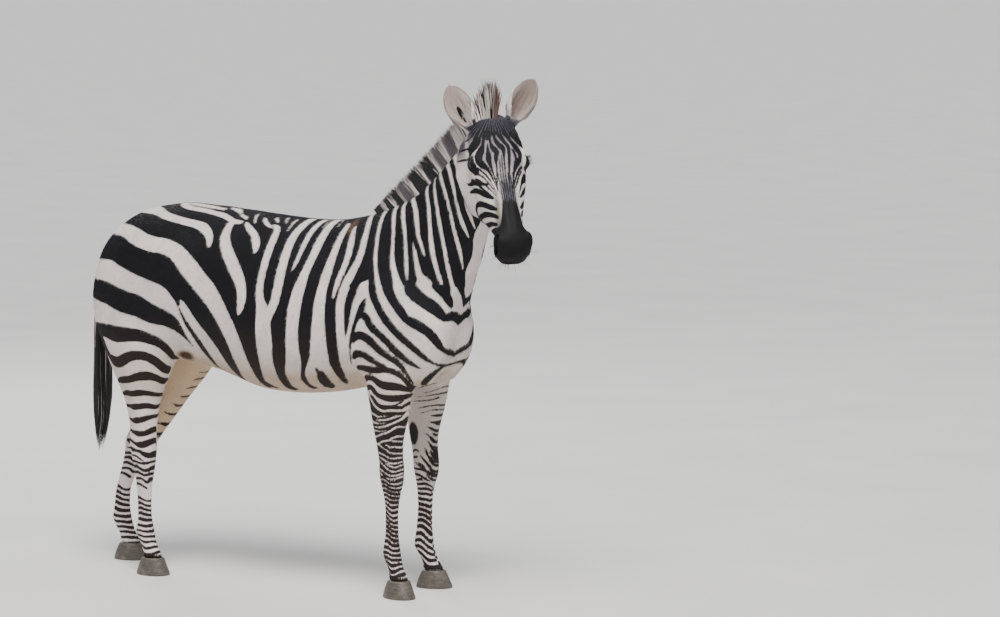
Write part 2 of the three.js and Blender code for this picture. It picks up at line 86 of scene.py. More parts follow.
def head_axes():
    yaw, pitch = math.radians(HEAD_YAW), math.radians(HEAD_PITCH)
    facing = np.array([math.cos(yaw), math.sin(yaw), 0])
    up = np.array([0, 0, 1])
    rows = np.array([
        facing * math.cos(pitch) - up * math.sin(pitch),
        facing * math.sin(pitch) + up * math.cos(pitch),
        np.cross(up, facing),
    ])
    roll = np.array(Matrix.Rotation(math.radians(HEAD_ROLL), 3, Vector(facing)))
    return rows @ roll.T


HEAD_AXES = head_axes()


def from_head(uvw):
    return POLL + np.asarray(uvw, float) @ HEAD_AXES


def to_head(points):
    return (points - POLL) @ HEAD_AXES.T


def node_centre(name):
    low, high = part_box(name)
    return np.array((low + high) / 2) / MM


MIDDLE = np.array([1, 1, 0])
SHIFT = (node_centre("eye_left") + node_centre("eye_right")) / 2 - from_head(EYE * MIDDLE)


def to_world(points):
    return (points + SHIFT) * MM


def make_object(name, points, faces, smooth=True):
    """A mesh object from body-axis millimetres; faces may be triangles or quads."""
    mesh = bpy.data.meshes.new(name)
    faces = np.asarray(faces, np.int32)
    mesh.vertices.add(len(points))
    mesh.vertices.foreach_set("co", to_world(points).astype(np.float32).ravel())
    mesh.loops.add(faces.size)
    mesh.loops.foreach_set("vertex_index", faces.ravel())
    mesh.polygons.add(len(faces))
    mesh.polygons.foreach_set("loop_start", np.arange(0, faces.size, faces.shape[1]))
    mesh.update(calc_edges=True)
    mesh.polygons.foreach_set("use_smooth", np.full(len(faces), smooth))
    obj = bpy.data.objects.new(name, mesh)
    bpy.context.scene.collection.objects.link(obj)
    return obj


def read_mesh(obj):
    """Points in body-axis millimetres, and triangles."""
    mesh = obj.data
    mesh.calc_loop_triangles()
    points = np.empty(len(mesh.vertices) * 3)
    mesh.vertices.foreach_get("co", points)
    faces = np.empty(len(mesh.loop_triangles) * 3, np.int64)
    mesh.loop_triangles.foreach_get("vertices", faces)
    return points.reshape(-1, 3) / MM - SHIFT, faces.reshape(-1, 3)


def apply_modifier(obj, kind, **settings):
    modifier = obj.modifiers.new(kind.lower(), kind)
    for key, value in settings.items():
        setattr(modifier, key, value)
    depsgraph = bpy.context.evaluated_depsgraph_get()
    made = bpy.data.meshes.new_from_object(obj.evaluated_get(depsgraph))
    obj.modifiers.clear()
    old = obj.data
    obj.data = made
    bpy.data.meshes.remove(old)


def triangle_edges(faces):
    """Unique edges as vertex pairs, and for each triangle the numbers of its three edges."""
    pairs = np.sort(faces[:, [0, 1, 1, 2, 2, 0]].reshape(-1, 2), axis=1)
    count = faces.max() + 1
    keys, inverse = np.unique(pairs[:, 0] * count + pairs[:, 1], return_inverse=True)
    return np.stack([keys // count, keys % count], 1), inverse.reshape(-1, 3)


def refine(points, faces, wanted):
    """Halves each edge that is longer than wanted(points) says at its middle."""
    edges, of_face = triangle_edges(faces)
    middles = points[edges].mean(1)
    long = np.linalg.norm(points[edges[:, 0]] - points[edges[:, 1]], axis=1) > wanted(middles)
    number = np.full(len(edges), -1)
    number[long] = len(points) + np.arange(long.sum())
    cuts = number[of_face]
    count = (cuts >= 0).sum(1)
    made = [faces[count == 0]]
    for turn in range(3):
        a, b, c = np.roll(faces, -turn, 1).T
        ab, bc, ca = np.roll(cuts, -turn, 1).T
        one = (count == 1) & (ab >= 0)
        made += [np.stack(t, 1)[one] for t in ((a, ab, c), (ab, b, c))]
        two = (count == 2) & (ab < 0)
        made += [np.stack(t, 1)[two] for t in ((a, b, bc), (a, bc, ca), (ca, bc, c))]
    a, b, c = faces[count == 3].T
    ab, bc, ca = cuts[count == 3].T
    made += [np.stack(t, 1) for t in ((a, ab, ca), (ab, b, bc), (ca, bc, c), (ab, bc, ca))]
    return np.vstack([points, middles[long]]), np.vstack(made)


class Neighbours:
    """Averages over the neighbours of each vertex of a mesh."""

    def __init__(self, faces):
        edges, _ = triangle_edges(faces)
        both = np.vstack([edges, edges[:, ::-1]])
        both = both[np.argsort(both[:, 0], kind="stable")]
        self.of = both[:, 1]
        self.starts = np.flatnonzero(np.r_[True, both[1:, 0] != both[:-1, 0]])
        self.counts = np.diff(np.r_[self.starts, len(both)])

    def mean(self, values):
        sums = np.add.reduceat(values[self.of], self.starts, axis=0)
        return sums / self.counts.reshape(-1, *[1] * (values.ndim - 1))

    def smooth(self, values, times, weight=1.0):
        share = np.asarray(weight) * 0.5
        if values.ndim > 1 and share.ndim:
            share = share[:, None]
        for _ in range(times):
            values = values + (self.mean(values) - values) * share
        return values


def vertex_normals(points, faces):
    a, b, c = points[faces].transpose(1, 0, 2)
    face_normals = np.cross(b - a, c - a)
    normals = np.zeros_like(points)
    for axis in range(3):
        for corner in range(3):
            normals[:, axis] += np.bincount(faces[:, corner], face_normals[:, axis], len(points))
    return unit(normals)


# ---- measures of the body, the same as the solids' ---------------------------------
FORE_FOOT_X, HIND_FOOT_X = 388.0, -605.0
LEFT_HIND_SETBACK = 250.0
SETBACK_FULL, SETBACK_TOP = 200.0, 760.0
FLESH = ("trunk", "neck", "head", "leg_fore_left", "leg_fore_right",
         "leg_hind_left", "leg_hind_right")
EARS = ("ear_left", "ear_right")
HOOVES = ("hoof_fore_left", "hoof_fore_right", "hoof_hind_left", "hoof_hind_right")
CORONET = 60.0

# the neck's middle plane: height along the neck, sideways shift
NECK_RUN = np.array([0.63, 0, 0.776])
NECK_BEND = np.array([(1039, 0), (1160, 0), (1265, -3), (1370, -16), (1477, -40), (1576, -72),
                      (1660, -110), (1720, -128)], float)
CREST = smooth_rows([(190, 1270), (300, 1303), (405, 1345), (500, 1413), (585, 1487),
                     (665, 1553), (735, 1604)], 8)
THROAT = smooth_rows([(510, 840), (598, 960), (632, 1075), (660, 1178), (700, 1278),
                      (742, 1368), (778, 1448)], 8)
NECK_PLANE = np.array([420, 0, 1150]), unit(np.array([0.64, 0, 0.77]))
HEAD_PLANE = from_head([28, -90, 0]), unit(from_head([0.9135, 0.4067, 0]) - POLL)


def bend(points):
    """How far the body's middle plane stands to the left at each point."""
    return np.interp(points @ NECK_RUN, NECK_BEND[:, 0], NECK_BEND[:, 1])


def setback(z):
    return LEFT_HIND_SETBACK * (1 - smoothstep(SETBACK_FULL, SETBACK_TOP, z))


def side_of(points):
    """Distance to the left of the middle plane; the neck's plane bends with it."""
    in_neck = (points - NECK_PLANE[0]) @ NECK_PLANE[1] > 0
    return points[:, 1] - np.where(in_neck, bend(points), 0)


def region_masks(points):
    """Soft membership, 0 to 1, of head, neck and each leg; the trunk is what is left."""
    head = smoothstep(-14, 14, (points - HEAD_PLANE[0]) @ HEAD_PLANE[1]) * (points[:, 0] > 640)
    neck = smoothstep(-60, 60, (points - NECK_PLANE[0]) @ NECK_PLANE[1]) * (1 - head)
    x, y, z = points.T
    fore = smoothstep(800, 720, z) * (np.abs(x - FORE_FOOT_X) < 130)
    hind = smoothstep(900, 800, z + 0.22 * (x - HIND_FOOT_X)) * (x < -440)
    left = y > 0
    legs = {"fore_left": fore * left, "fore_right": fore * ~left,
            "hind_left": hind * left, "hind_right": hind * ~left}
    return head, neck, legs


# ---- the skin ------------------------------------------------------------------------
FATTEN = 1.0                       # closes the cuts between the solids
VOXEL = 10.0
SKIN_DEPTH = {"body": 4.5, "leg": 2.6, "head": 1.8}
# tail dock: x, z, radius
DOCK = [(-760, 1130, 24), (-800, 1130, 25), (-836, 1092, 22), (-855, 1015, 18), (-861, 930, 15),
        (-861, 850, 11), (-860, 800, 5)]


def tube(path, radii, sides):
    """A closed round tube; path is points, radii one number each."""
    path = np.asarray(path, float)
    along = unit(np.gradient(path, axis=0))
    across = unit(np.cross(along, [0, 1, 0.001]))
    third = np.cross(along, across)
    angle = np.arange(sides) * 2 * math.pi / sides
    rings = (path[:, None] + np.asarray(radii)[:, None, None]
             * (np.cos(angle)[:, None] * across[:, None] + np.sin(angle)[:, None] * third[:, None]))
    return close_rings(rings)


def close_rings(rings):
    """Points and triangles of a closed body through rings of equal counts."""
    rows, sides = rings.shape[:2]
    points = np.vstack([rings.reshape(-1, 3), rings[0].mean(0), rings[-1].mean(0)])
    row, side = np.meshgrid(np.arange(rows - 1), np.arange(sides), indexing="ij")
    low, low_next = row * sides + side, row * sides + (side + 1) % sides
    faces = [np.stack(t, -1).reshape(-1, 3) for t in
             ((low, low_next, low + sides), (low_next, low_next + sides, low + sides))]
    side = np.arange(sides)
    after = (side + 1) % sides
    first, last, base = rows * sides, rows * sides + 1, (rows - 1) * sides
    faces.append(np.stack([np.full(sides, first), after, side], 1))
    faces.append(np.stack([np.full(sides, last), base + side, base + after], 1))
    faces = np.vstack(faces)
    a, b, c = points[faces].transpose(1, 0, 2)
    if np.einsum("ij,ij->", a, np.cross(b, c)) < 0:
        faces = faces[:, ::-1]
    return points, faces


def fattened(name):
    part = bmesh.new()
    part.from_mesh(NODES[name].data)
    bmesh.ops.remove_doubles(part, verts=part.verts, dist=1e-5)
    bmesh.ops.triangulate(part, faces=part.faces)
    part.normal_update()
    points = np.array([v.co + v.normal * FATTEN * MM for v in part.verts]) / MM - SHIFT
    faces = np.array([[v.index for v in f.verts] for f in part.faces])
    part.free()
    return points, faces


def stack_meshes(parts):
    points, faces, base = [], [], 0
    for part_points, part_faces in parts:
        points.append(part_points)
        faces.append(np.asarray(part_faces) + base)
        base += len(part_points)
    return np.vstack(points), np.vstack(faces)


def largest_island(points, faces):
    """The vertices of the biggest connected body only."""
    label = np.arange(len(points))
    edges, _ = triangle_edges(faces)
    while True:
        low = np.minimum(label[edges[:, 0]], label[edges[:, 1]])
        after = label.copy()
        np.minimum.at(after, edges[:, 0], low)
        np.minimum.at(after, edges[:, 1], low)
        after = after[after]
        if (after == label).all():
            break
        label = after
    keep = label == np.bincount(label).argmax()
    number = np.cumsum(keep) - 1
    return points[keep], number[faces[keep[faces[:, 0]]]]


def remeshed_flesh():
    dock = np.array(smooth_rows(DOCK, 4))
    dock_path = np.stack([dock[:, 0], np.zeros(len(dock)), dock[:, 1]], 1)
    blocks = [fattened(name) for name in FLESH + ("eye_left", "eye_right")]
    blocks.append(tube(dock_path, dock[:, 2], 16))
    obj = make_object("flesh", *stack_meshes(blocks))
    apply_modifier(obj, "REMESH", mode="VOXEL", voxel_size=VOXEL * MM, adaptivity=0)
    points, faces = largest_island(*read_mesh(obj))
    bpy.data.objects.remove(obj)
    return points, faces


def eye_distance(points):
    """How far each point lies from the centre of the nearer eye."""
    uvw = to_head(points)
    return np.minimum(*(np.linalg.norm(uvw - centre, axis=1) for centre in EYES.values()))


def skin_spacing(points):
    """The longest edge wanted on each part of the skin."""
    head, _, legs = region_masks(points)
    uvw = to_head(points)
    wanted = np.full(len(points), 17.0)
    wanted = np.where(sum(legs.values()) > 0.5, 10.0, wanted)
    wanted = np.where(head > 0.5, 7.5, wanted)
    front = (head > 0.5) & (uvw[:, 1] > -110)
    wanted = np.where(front, 4.8, wanted)
    muzzle = (head > 0.5) & (uvw[:, 0] > 405)
    wanted = np.where(muzzle, 3.5, wanted)
    return np.where(eye_distance(points) < 40, 2.4, wanted)


def path_distance(points, path):
    """Distance of each point to a polyline of the same dimensions, and how far along it."""
    best = np.full(len(points), 1e9)
    along = np.zeros(len(points))
    path = np.asarray(path, float)
    for number, (low, high) in enumerate(zip(path, path[1:])):
        step = high - low
        t = np.clip((points - low) @ step / (step @ step), 0, 1)
        away = np.linalg.norm(points - low - t[:, None] * step, axis=1)
        nearer = away < best
        best = np.where(nearer, away, best)
        along = np.where(nearer, number + t, along)
    return best, along


# Soft relief on both sides of the body, seen from the side: path of x, z; width; rise
BODY_RELIEF = [
    ([(235, 1150), (262, 1010), (282, 900), (292, 830)], 40, -5.0),    # behind the shoulder
    ([(330, 1200), (410, 1080), (470, 960)], 40, 3.0),                 # front of the shoulder blade
    ([(300, 830), (322, 800)], 26, 7.0),                               # point of the elbow
    ([(500, 930), (520, 900)], 30, 4.0),                               # point of the shoulder
    ([(-372, 760), (-362, 850), (-400, 960)], 34, -6.0),               # fold of the flank
    ([(-415, 1190), (-455, 1150)], 30, 4.0),                           # point of the hip
    ([(-700, 1060), (-712, 950), (-690, 850)], 36, -4.0),              # groove of the haunch
    ([(-500, 860), (-480, 800)], 26, 4.0),                             # stifle
]
RIGHT_HIND_RELIEF = [
    ([(-628, 610), (-640, 550), (-648, 505)], 11, -8.0),               # hollow before the tendon
    ([(-600, 640), (-585, 560)], 16, 3.0),                             # second thigh
    ([(-622, 480), (-600, 440), (-596, 415)], 13, 2.5),                # hock bones
    ([(-621, 390), (-622, 300), (-622, 180)], 6, -3.2),                # groove before the tendons
    ([(-640, 148), (-646, 138)], 9, 3.0),                              # back of the fetlock
]
FORE_RELIEF = [
    ([(345, 640), (352, 560), (360, 500)], 9, -3.5),                   # forearm groove
    ([(405, 650), (400, 560)], 16, 2.5),                               # forearm muscle
    ([(412, 445), (412, 405)], 10, 2.5),                               # knee
    ([(350, 430), (354, 405)], 9, 3.0),                                # back of the knee
    ([(371, 370), (370, 290), (370, 180)], 6, -3.0),                   # groove before the tendons
    ([(352, 146), (348, 136)], 9, 3.0),
]


def add_relief(points, normals, planar, relief, weight):
    sideways = np.abs(normals[:, 1]) * weight
    rise = np.zeros(len(points))
    for path, width, height in relief:
        away, _ = path_distance(planar, path)
        rise += height * np.exp(-(away / width) ** 2) * sideways
    return points + normals * rise[:, None]


def sculpt_body(points, normals):
    head = region_masks(points)[0]
    points = add_relief(points, normals, points[:, [0, 2]], BODY_RELIEF, 1 - head)
    x, y, z = points.T
    planar = np.stack([x + setback(z) * (y > 0), z], 1)
    hind = smoothstep(-430, -470, planar[:, 0])
    points = add_relief(points, normals, planar, RIGHT_HIND_RELIEF, hind)
    fore = smoothstep(760, 700, z) * (x > 200) * (1 - head)
    return add_relief(points, normals, points[:, [0, 2]], FORE_RELIEF, fore)


# Relief of the head: path of u, v, |w|; width; rise
HEAD_RELIEF = [
    ([(196, -74, 92), (250, -80, 82), (308, -86, 62)], 11, 2.6),        # facial crest
    ([(205, -100, 92), (262, -104, 76)], 15, -2.5),                    # under the crest
    ([(262, -34, 66), (330, -40, 50), (380, -44, 44)], 17, -3.5),      # beside the nasal bones
    ([(240, 4, 22), (330, -10, 16), (400, -14, 13)], 13, 2.0),         # nasal bones
    ([(104, -6, 70), (118, -12, 76)], 16, -5.0),                       # hollow above the eye
    ([(136, -14, 84), (160, -8, 84), (184, -16, 82)], 9, 3.0),         # brow
    ([(248, -120, 78), (268, -170, 62), (262, -215, 46)], 10, -4.0),   # front edge of the jowl
    ([(150, -150, 96), (200, -160, 92)], 42, 3.0),                     # chewing muscle
    ([(400, -118, 42), (440, -122, 40)], 10, -2.0),
]
NOSTRIL_SLIT = smooth_rows([(440, -34, 55), (456, -42, 64), (472, -58, 62), (474, -80, 57),
                            (462, -90, 58)], 4)
NOSTRIL_DEPTH = 17.0
MOUTH = smooth_rows([(512, -92, 0), (503, -97, 24), (484, -101, 42), (458, -104, 50),
                     (430, -104, 50), (412, -100, 47)], 4)
LID = 2.4                          # thickness of the lids
LID_OUTER = 37.0                   # where lids pass into the cheek, from the eye's centre
LID_FACING = np.array([-0.06, 0.30, 0.95])
LID_LONG = np.array([0.985, -0.12, 0.0])
OPENING = {"half_length": 19.5, "upper": 11.5, "lower": 8.5}


def eye_frame(side):
    """Rows: along the lids, up across them, and out of the eye, in head axes."""
    mirror = np.array([1, 1, side])
    out = unit(LID_FACING) * mirror
    long = unit(LID_LONG * mirror - out * (LID_LONG * mirror @ out))
    up = np.cross(out, long)
    return np.stack([long, up if up[1] > 0 else -up, out])


def lid_margins(along):
    """Heights of the upper and lower lid's edge at a place along the eye."""
    shape = 1 - np.clip(np.abs(along) / OPENING["half_length"], 0, 1.4) ** 2.2
    upper = OPENING["upper"] * shape + 1.2 * along / OPENING["half_length"]
    return upper, -OPENING["lower"] * shape


def sculpt_eye(uvw, side):
    axes = eye_frame(side)
    local = (uvw - EYES[side]) @ axes.T
    along, up, out = local.T
    reach = np.hypot(along, up)
    near = (reach < LID_OUTER) & (out > 0)
    upper, lower = lid_margins(along)
    outside = np.maximum(up - upper, lower - up)
    ball = np.sqrt(np.maximum(EYE_RADIUS**2 - reach**2, 0))
    dome = EYE_RADIUS + LID - reach**2 / 46
    dome += 0.9 * np.exp(-((outside - 1.2) / 1.3) ** 2)
    dome -= 1.5 * np.exp(-((up - upper - 7.5) / 1.7) ** 2) * (up > upper)
    dome -= 0.9 * np.exp(-((lower - up - 6.0) / 1.6) ** 2) * (up < lower)
    dome -= 0.6 * np.exp(-((lower - up - 11.0) / 1.5) ** 2) * (up < lower)
    blend = smoothstep(LID_OUTER, 19.0, reach)
    lids = out + (dome - out) * blend
    inside = np.minimum(ball - 4.0, lids)
    wanted = np.where(outside > 0, lids, inside)
    changed = local.copy()
    changed[:, 2] = np.where(near, wanted, out)
    moved = changed @ axes + EYES[side]
    return np.where(near[:, None], moved, uvw)


def sculpt_head(points, normals):
    head = region_masks(points)[0]
    uvw = to_head(points)
    folded = uvw * [1, 1, 0] + np.abs(uvw) * [0, 0, 1]
    rise = np.zeros(len(points))
    for path, width, height in HEAD_RELIEF:
        away, _ = path_distance(folded, path)
        rise += height * np.exp(-(away / width) ** 2)
    away, along = path_distance(folded, MOUTH)
    behind = smoothstep(len(MOUTH) - 1.2, len(MOUTH) - 4, along)
    rise += (2.2 * np.exp(-((away - 6) / 4) ** 2) - 5.5 * np.exp(-(away / 2.4) ** 2)) * behind
    away, along = path_distance(folded, NOSTRIL_SLIT)
    rise += 3.4 * np.exp(-((away - 11) / 5) ** 2)
    uvw = uvw + (normals @ HEAD_AXES.T) * (rise * head)[:, None]
    inward = np.stack([np.full(len(uvw), -0.45), np.full(len(uvw), 0.1),
                       -0.88 * np.sign(uvw[:, 2])], 1)
    pit = NOSTRIL_DEPTH * np.exp(-(away / 6.0) ** 4) * head
    uvw = uvw + inward * pit[:, None]
    for side in EYES:
        uvw = sculpt_eye(uvw, side)
    return np.where(head[:, None] > 0, from_head(uvw), points)


# ---- ears ------------------------------------------------------------------------------
EAR_LENGTH = 160.0
# how far along, half width, how far the cup closes (degrees either side), depth of its back
EAR = smooth_rows([
    (-0.10, 0.12, 150, 0.12), (0.08, 0.185, 150, 0.165), (0.24, 0.278, 134, 0.205),
    (0.42, 0.308, 114, 0.195), (0.60, 0.308, 95, 0.16), (0.78, 0.243, 84, 0.105),
    (0.91, 0.152, 76, 0.055), (0.98, 0.05, 70, 0.02)], 6)
EAR_ARC = 28
EAR_NARROWER = 0.94
EAR_THICKNESS = 4.6
EAR_SHIFT = np.array([-8.0, -4.0, 3.0])
# the last number sets how strong the painted shade in the ear's hollow is; below 0 there is none
EAR_PLACES = {
    "ear_right": {"base": from_head([34, -26, -66]) + EAR_SHIFT, "axis": (-0.54, 0.05, 0.83),
                  "opening": (0.40, -0.91, 0.10), "hollow_shade": 1.2},
    "ear_left": {"base": from_head([22, -22, 66]), "axis": (0.42, 0.20, 0.87),
                 "opening": (0.72, -0.62, 0.0), "hollow_shade": -2.0},
}


def ear_axes(place):
    along = unit(np.array(place["axis"], float))
    opening = np.array(place["opening"], float)
    opening = unit(opening - along * (opening @ along))
    return along, opening, np.cross(along, opening)


def ear_solid(place):
    """The cup of an ear, thick at the back and thin at the rim, with soft ridges inside."""
    along, opening, across = ear_axes(place)
    rings = []
    share_of_arc = np.linspace(-1, 1, EAR_ARC)
    for share, half, closing, depth in EAR:
        angle = np.radians(closing) * share_of_arc
        width, back = half * EAR_LENGTH * EAR_NARROWER, depth * EAR_LENGTH
        thick = EAR_THICKNESS * (1 - 0.55 * share_of_arc**4)
        ridges = 1.4 * np.exp(-((np.abs(share_of_arc) - 0.42) / 0.12) ** 2)
        thick = np.minimum(thick + ridges * smoothstep(0.9, 0.5, share), 0.5 * width)
        ring = []
        for shrink, order in ((np.zeros(EAR_ARC), 1), (thick, -1)):
            ring.append((np.outer((width - shrink) * np.sin(angle), across)
                         - np.outer((back - shrink) * np.cos(angle), opening))[::order])
        rings.append(place["base"] + share * EAR_LENGTH * along + np.vstack(ring))
    return close_rings(np.array(rings))


def join_ears(points, faces):
    """The head's skin and both ears as one closed surface."""
    skin = make_object("skin", points, faces)
    for name in EARS:
        ear = make_object(name + "_flesh", *ear_solid(EAR_PLACES[name]))
        apply_modifier(skin, "BOOLEAN", object=ear, operation="UNION", solver="MANIFOLD")
        bpy.data.objects.remove(ear)
    points, faces = read_mesh(skin)
    bpy.data.objects.remove(skin)
    return points, faces


def ear_distance(points):
    """Share of the ear's length at each point, and distance to the nearer ear's middle line."""
    best = np.full(len(points), 1e9)
    share = np.zeros(len(points))
    for place in EAR_PLACES.values():
        along = ear_axes(place)[0]
        run = np.clip((points - place["base"]) @ along, 0, EAR_LENGTH)
        away = np.linalg.norm(points - place["base"] - run[:, None] * along, axis=1)
        share = np.where(away < best, run / EAR_LENGTH, share)
        best = np.minimum(best, away)
    return share, best


def keep_volume(before, after, normals, around, times):
    """Puts back what smoothing took off a round form, as a soft offset along the normals."""
    lost = np.einsum("ij,ij->i", before - after, normals)
    return after + normals * around.smooth(lost, times)[:, None]


def coat_depth(points):
    head, _, legs = region_masks(points)
    depth = np.full(len(points), SKIN_DEPTH["body"])
    leg = sum(legs.values())
    depth = depth + (SKIN_DEPTH["leg"] - depth) * leg
    depth = depth + (SKIN_DEPTH["head"] - depth) * head
    _, away = ear_distance(points)
    depth = np.where(away < 60, np.minimum(depth, 0.4 + 1.4 * smoothstep(45, 60, away)), depth)
    depth *= smoothstep(22, 40, eye_distance(points))
    return depth * smoothstep(CORONET + 4, CORONET + 40, points[:, 2])


def build_skin():
    points, faces = remeshed_flesh()
    for _ in range(3):
        points, faces = refine(points, faces, skin_spacing)
    around = Neighbours(faces)
    head, _, legs = region_masks(points)
    leg = np.clip(sum(legs.values()), 0, 1)
    before = around.smooth(points, 4)
    normals = vertex_normals(before, faces)
    body = np.clip(1 - head - leg * 0.96, 0.02, 1)
    soft = around.smooth(before, 90, body)
    soft = around.smooth(soft, 14, head)
    points = keep_volume(before, soft, normals, around, 60)
    points = around.smooth(points, 3)
    points = sculpt_body(points, vertex_normals(points, faces))
    points = around.smooth(points, 2)
    points = sculpt_head(points, vertex_normals(points, faces))
    points, faces = join_ears(points, faces)
    share, away = ear_distance(points)
    around = Neighbours(faces)
    seam = smoothstep(50, 36, away) * smoothstep(0.20, 0.08, share)
    points = around.smooth(points, 10, seam)
    inset = around.smooth(coat_depth(points), 6)
    points = points - vertex_normals(points, faces) * inset[:, None]
    points[:, 2] = np.maximum(points[:, 2], CORONET - 3)
    return points, faces


# ---- markings --------------------------------------------------------------------------
# Strokes are x, z, width, read off the photo on the right side. Paint goes on in order.
WHITE_REAR = [
    [(-500, 1297, 8), (-440, 1285, 9), (-380, 1278, 10), (-330, 1270, 10), (-300, 1265, 12),
     (-270, 1257, 12), (-240, 1247, 12), (-208, 1243, 10)],
    [(-480, 1298, 4), (-400, 1290, 5), (-310, 1281, 4)],
    [(-700, 1262, 18), (-640, 1271, 20), (-560, 1270, 20), (-500, 1258, 20), (-400, 1240, 20),
     (-350, 1230, 24), (-320, 1216, 26), (-300, 1198, 24), (-290, 1178, 20), (-286, 1164, 8)],
    [(-800, 1196, 30), (-745, 1205, 34), (-650, 1203, 38), (-600, 1190, 48), (-550, 1175, 48),
     (-500, 1165, 48), (-450, 1161, 48), (-400, 1140, 52), (-350, 1094, 62), (-300, 1045, 66),
     (-255, 1003, 68), (-205, 940, 62), (-175, 890, 60), (-158, 850, 60), (-147, 800, 60),
     (-143, 750, 62), (-150, 700, 74), (-150, 650, 80)],
    [(-800, 1070, 55), (-700, 1070, 68), (-650, 1058, 66), (-600, 1041, 66), (-550, 1027, 62),
     (-500, 1010, 66), (-455, 990, 70), (-425, 955, 60), (-400, 915, 42), (-375, 868, 36),
     (-352, 820, 34), (-340, 790, 36)],
    [(-378, 978, 10), (-365, 958, 22), (-345, 925, 26), (-320, 890, 30), (-295, 860, 34),
     (-272, 830, 38), (-256, 800, 42), (-246, 760, 50), (-240, 720, 60)],
]
WHITE_FLECKS = [
    [(-232, 1266, 5), (-200, 1256, 7)], [(-178, 1266, 6), (-158, 1244, 5)],
    [(-135, 1254, 8), (-110, 1240, 9), (-84, 1230, 4)], [(-98, 1257, 6), (-78, 1247, 5)],
    [(-62, 1257, 5), (-46, 1245, 4)], [(-22, 1252, 7), (-18, 1222, 7)],
    [(-300, 1285, 4), (-262, 1278, 6), (-238, 1270, 4)], [(-420, 1297, 3), (-350, 1291, 5)],
    [(152, 1262, 5), (158, 1240, 3)], [(100, 1260, 4), (102, 1232, 3)],
]
WHITE_FLANK = [
    [(-243, 1236, 24), (-240, 1200, 32), (-222, 1165, 36), (-195, 1130, 42), (-160, 1088, 42),
     (-131, 1045, 38), (-121, 1000, 34), (-124, 965, 24), (-131, 944, 6)],
    [(-188, 1241, 8), (-165, 1226, 16), (-135, 1208, 18), (-115, 1185, 26), (-105, 1165, 22),
     (-105, 1150, 8)],
    [(-82, 1236, 6), (-60, 1224, 18), (-53, 1190, 26), (-53, 1100, 26), (-54, 1040, 25),
     (-48, 1000, 30), (-36, 965, 44), (-31, 940, 56), (-31, 900, 60), (-30, 850, 61),
     (-36, 800, 54), (-43, 750, 56), (-53, 700, 64), (-55, 650, 70)],
    [(26, 1275, 24), (24, 1250, 27), (15, 1200, 29), (16, 1150, 31), (16, 1050, 32),
     (11, 1000, 31), (0, 968, 32), (-15, 940, 34)],
    [(77, 1275, 16), (76, 1255, 18), (71, 1225, 20), (70, 1190, 18), (67, 1150, 15),
     (61, 1115, 11), (56, 1097, 3)],
    [(127, 1275, 24), (124, 1250, 26), (122, 1200, 30), (118, 1150, 28), (107, 1100, 28),
     (96, 1050, 38), (87, 1000, 43), (82, 950, 44), (78, 900, 42), (75, 850, 45),
     (70, 800, 52), (60, 772, 52), (49, 750, 50), (42, 725, 48), (40, 690, 60)],
    [(193, 1242, 18), (191, 1190, 21), (187, 1140, 25), (182, 1090, 31), (175, 1040, 32),
     (171, 990, 38), (171, 940, 41), (171, 890, 48), (167, 840, 56), (160, 800, 60),
     (125, 765, 38), (108, 735, 36), (104, 690, 40)],
    [(165, 800, 50), (178, 760, 34), (182, 720, 34), (180, 680, 40)],
    [(226, 1240, 8), (230, 1225, 14), (237, 1190, 20), (240, 1150, 20), (236, 1115, 19),
     (226, 1075, 17), (219, 1040, 13), (216, 1009, 4)],
    [(256, 1290, 12), (268, 1262, 17), (276, 1240, 18), (284, 1190, 21), (283, 1140, 23),
     (266, 1090, 28), (248, 1040, 26), (243, 990, 28), (246, 940, 28), (250, 890, 32),
     (252, 840, 36), (250, 790, 42), (255, 740, 60), (250, 690, 80)],
]
WHITE_NECK = [
    [(308, 1310, 16), (316, 1285, 16), (322, 1250, 15), (334, 1190, 14), (343, 1140, 15),
     (358, 1090, 17), (380, 1040, 23), (407, 990, 27), (441, 940, 27), (478, 890, 26),
     (510, 850, 20)],
    [(352, 1325, 16), (360, 1300, 18), (378, 1260, 17), (388, 1230, 14), (396, 1190, 13),
     (404, 1140, 17), (422, 1090, 22), (450, 1040, 24)],
    [(388, 1335, 14), (398, 1310, 18), (414, 1280, 18), (432, 1240, 17), (442, 1205, 13),
     (450, 1160, 14), (458, 1110, 15), (463, 1080, 5)],
    [(412, 1347, 10), (445, 1326, 20), (466, 1300, 22), (480, 1260, 20), (491, 1220, 15),
     (504, 1190, 13), (516, 1158, 5)],
    [(472, 1200, 4), (478, 1180, 10), (484, 1160, 14), (495, 1110, 20), (512, 1068, 28)],
    [(484, 1392, 14), (502, 1366, 20), (518, 1340, 20), (528, 1310, 19), (534, 1260, 18),
     (539, 1210, 20), (547, 1160, 19), (560, 1110, 17), (573, 1072, 12), (580, 1047, 4)],
    [(540, 1425, 14), (553, 1385, 16), (560, 1350, 16), (567, 1310, 16), (575, 1260, 16),
     (583, 1210, 14), (590, 1165, 15), (600, 1110, 16), (612, 1060, 16), (622, 1020, 14)],
    [(575, 1445, 16), (590, 1410, 16), (606, 1360, 14), (616, 1310, 13), (624, 1260, 15),
     (634, 1215, 16), (645, 1165, 14), (650, 1115, 3)],
    [(610, 1478, 22), (625, 1450, 20), (634, 1410, 17), (643, 1360, 13), (650, 1310, 14),
     (662, 1265, 18), (680, 1222, 4)],
    [(646, 1512, 26), (662, 1470, 22), (672, 1420, 15), (680, 1370, 15), (690, 1310, 18),
     (705, 1255, 6)],
    [(640, 1560, 30), (670, 1540, 40), (710, 1500, 60), (716, 1420, 50)],
]
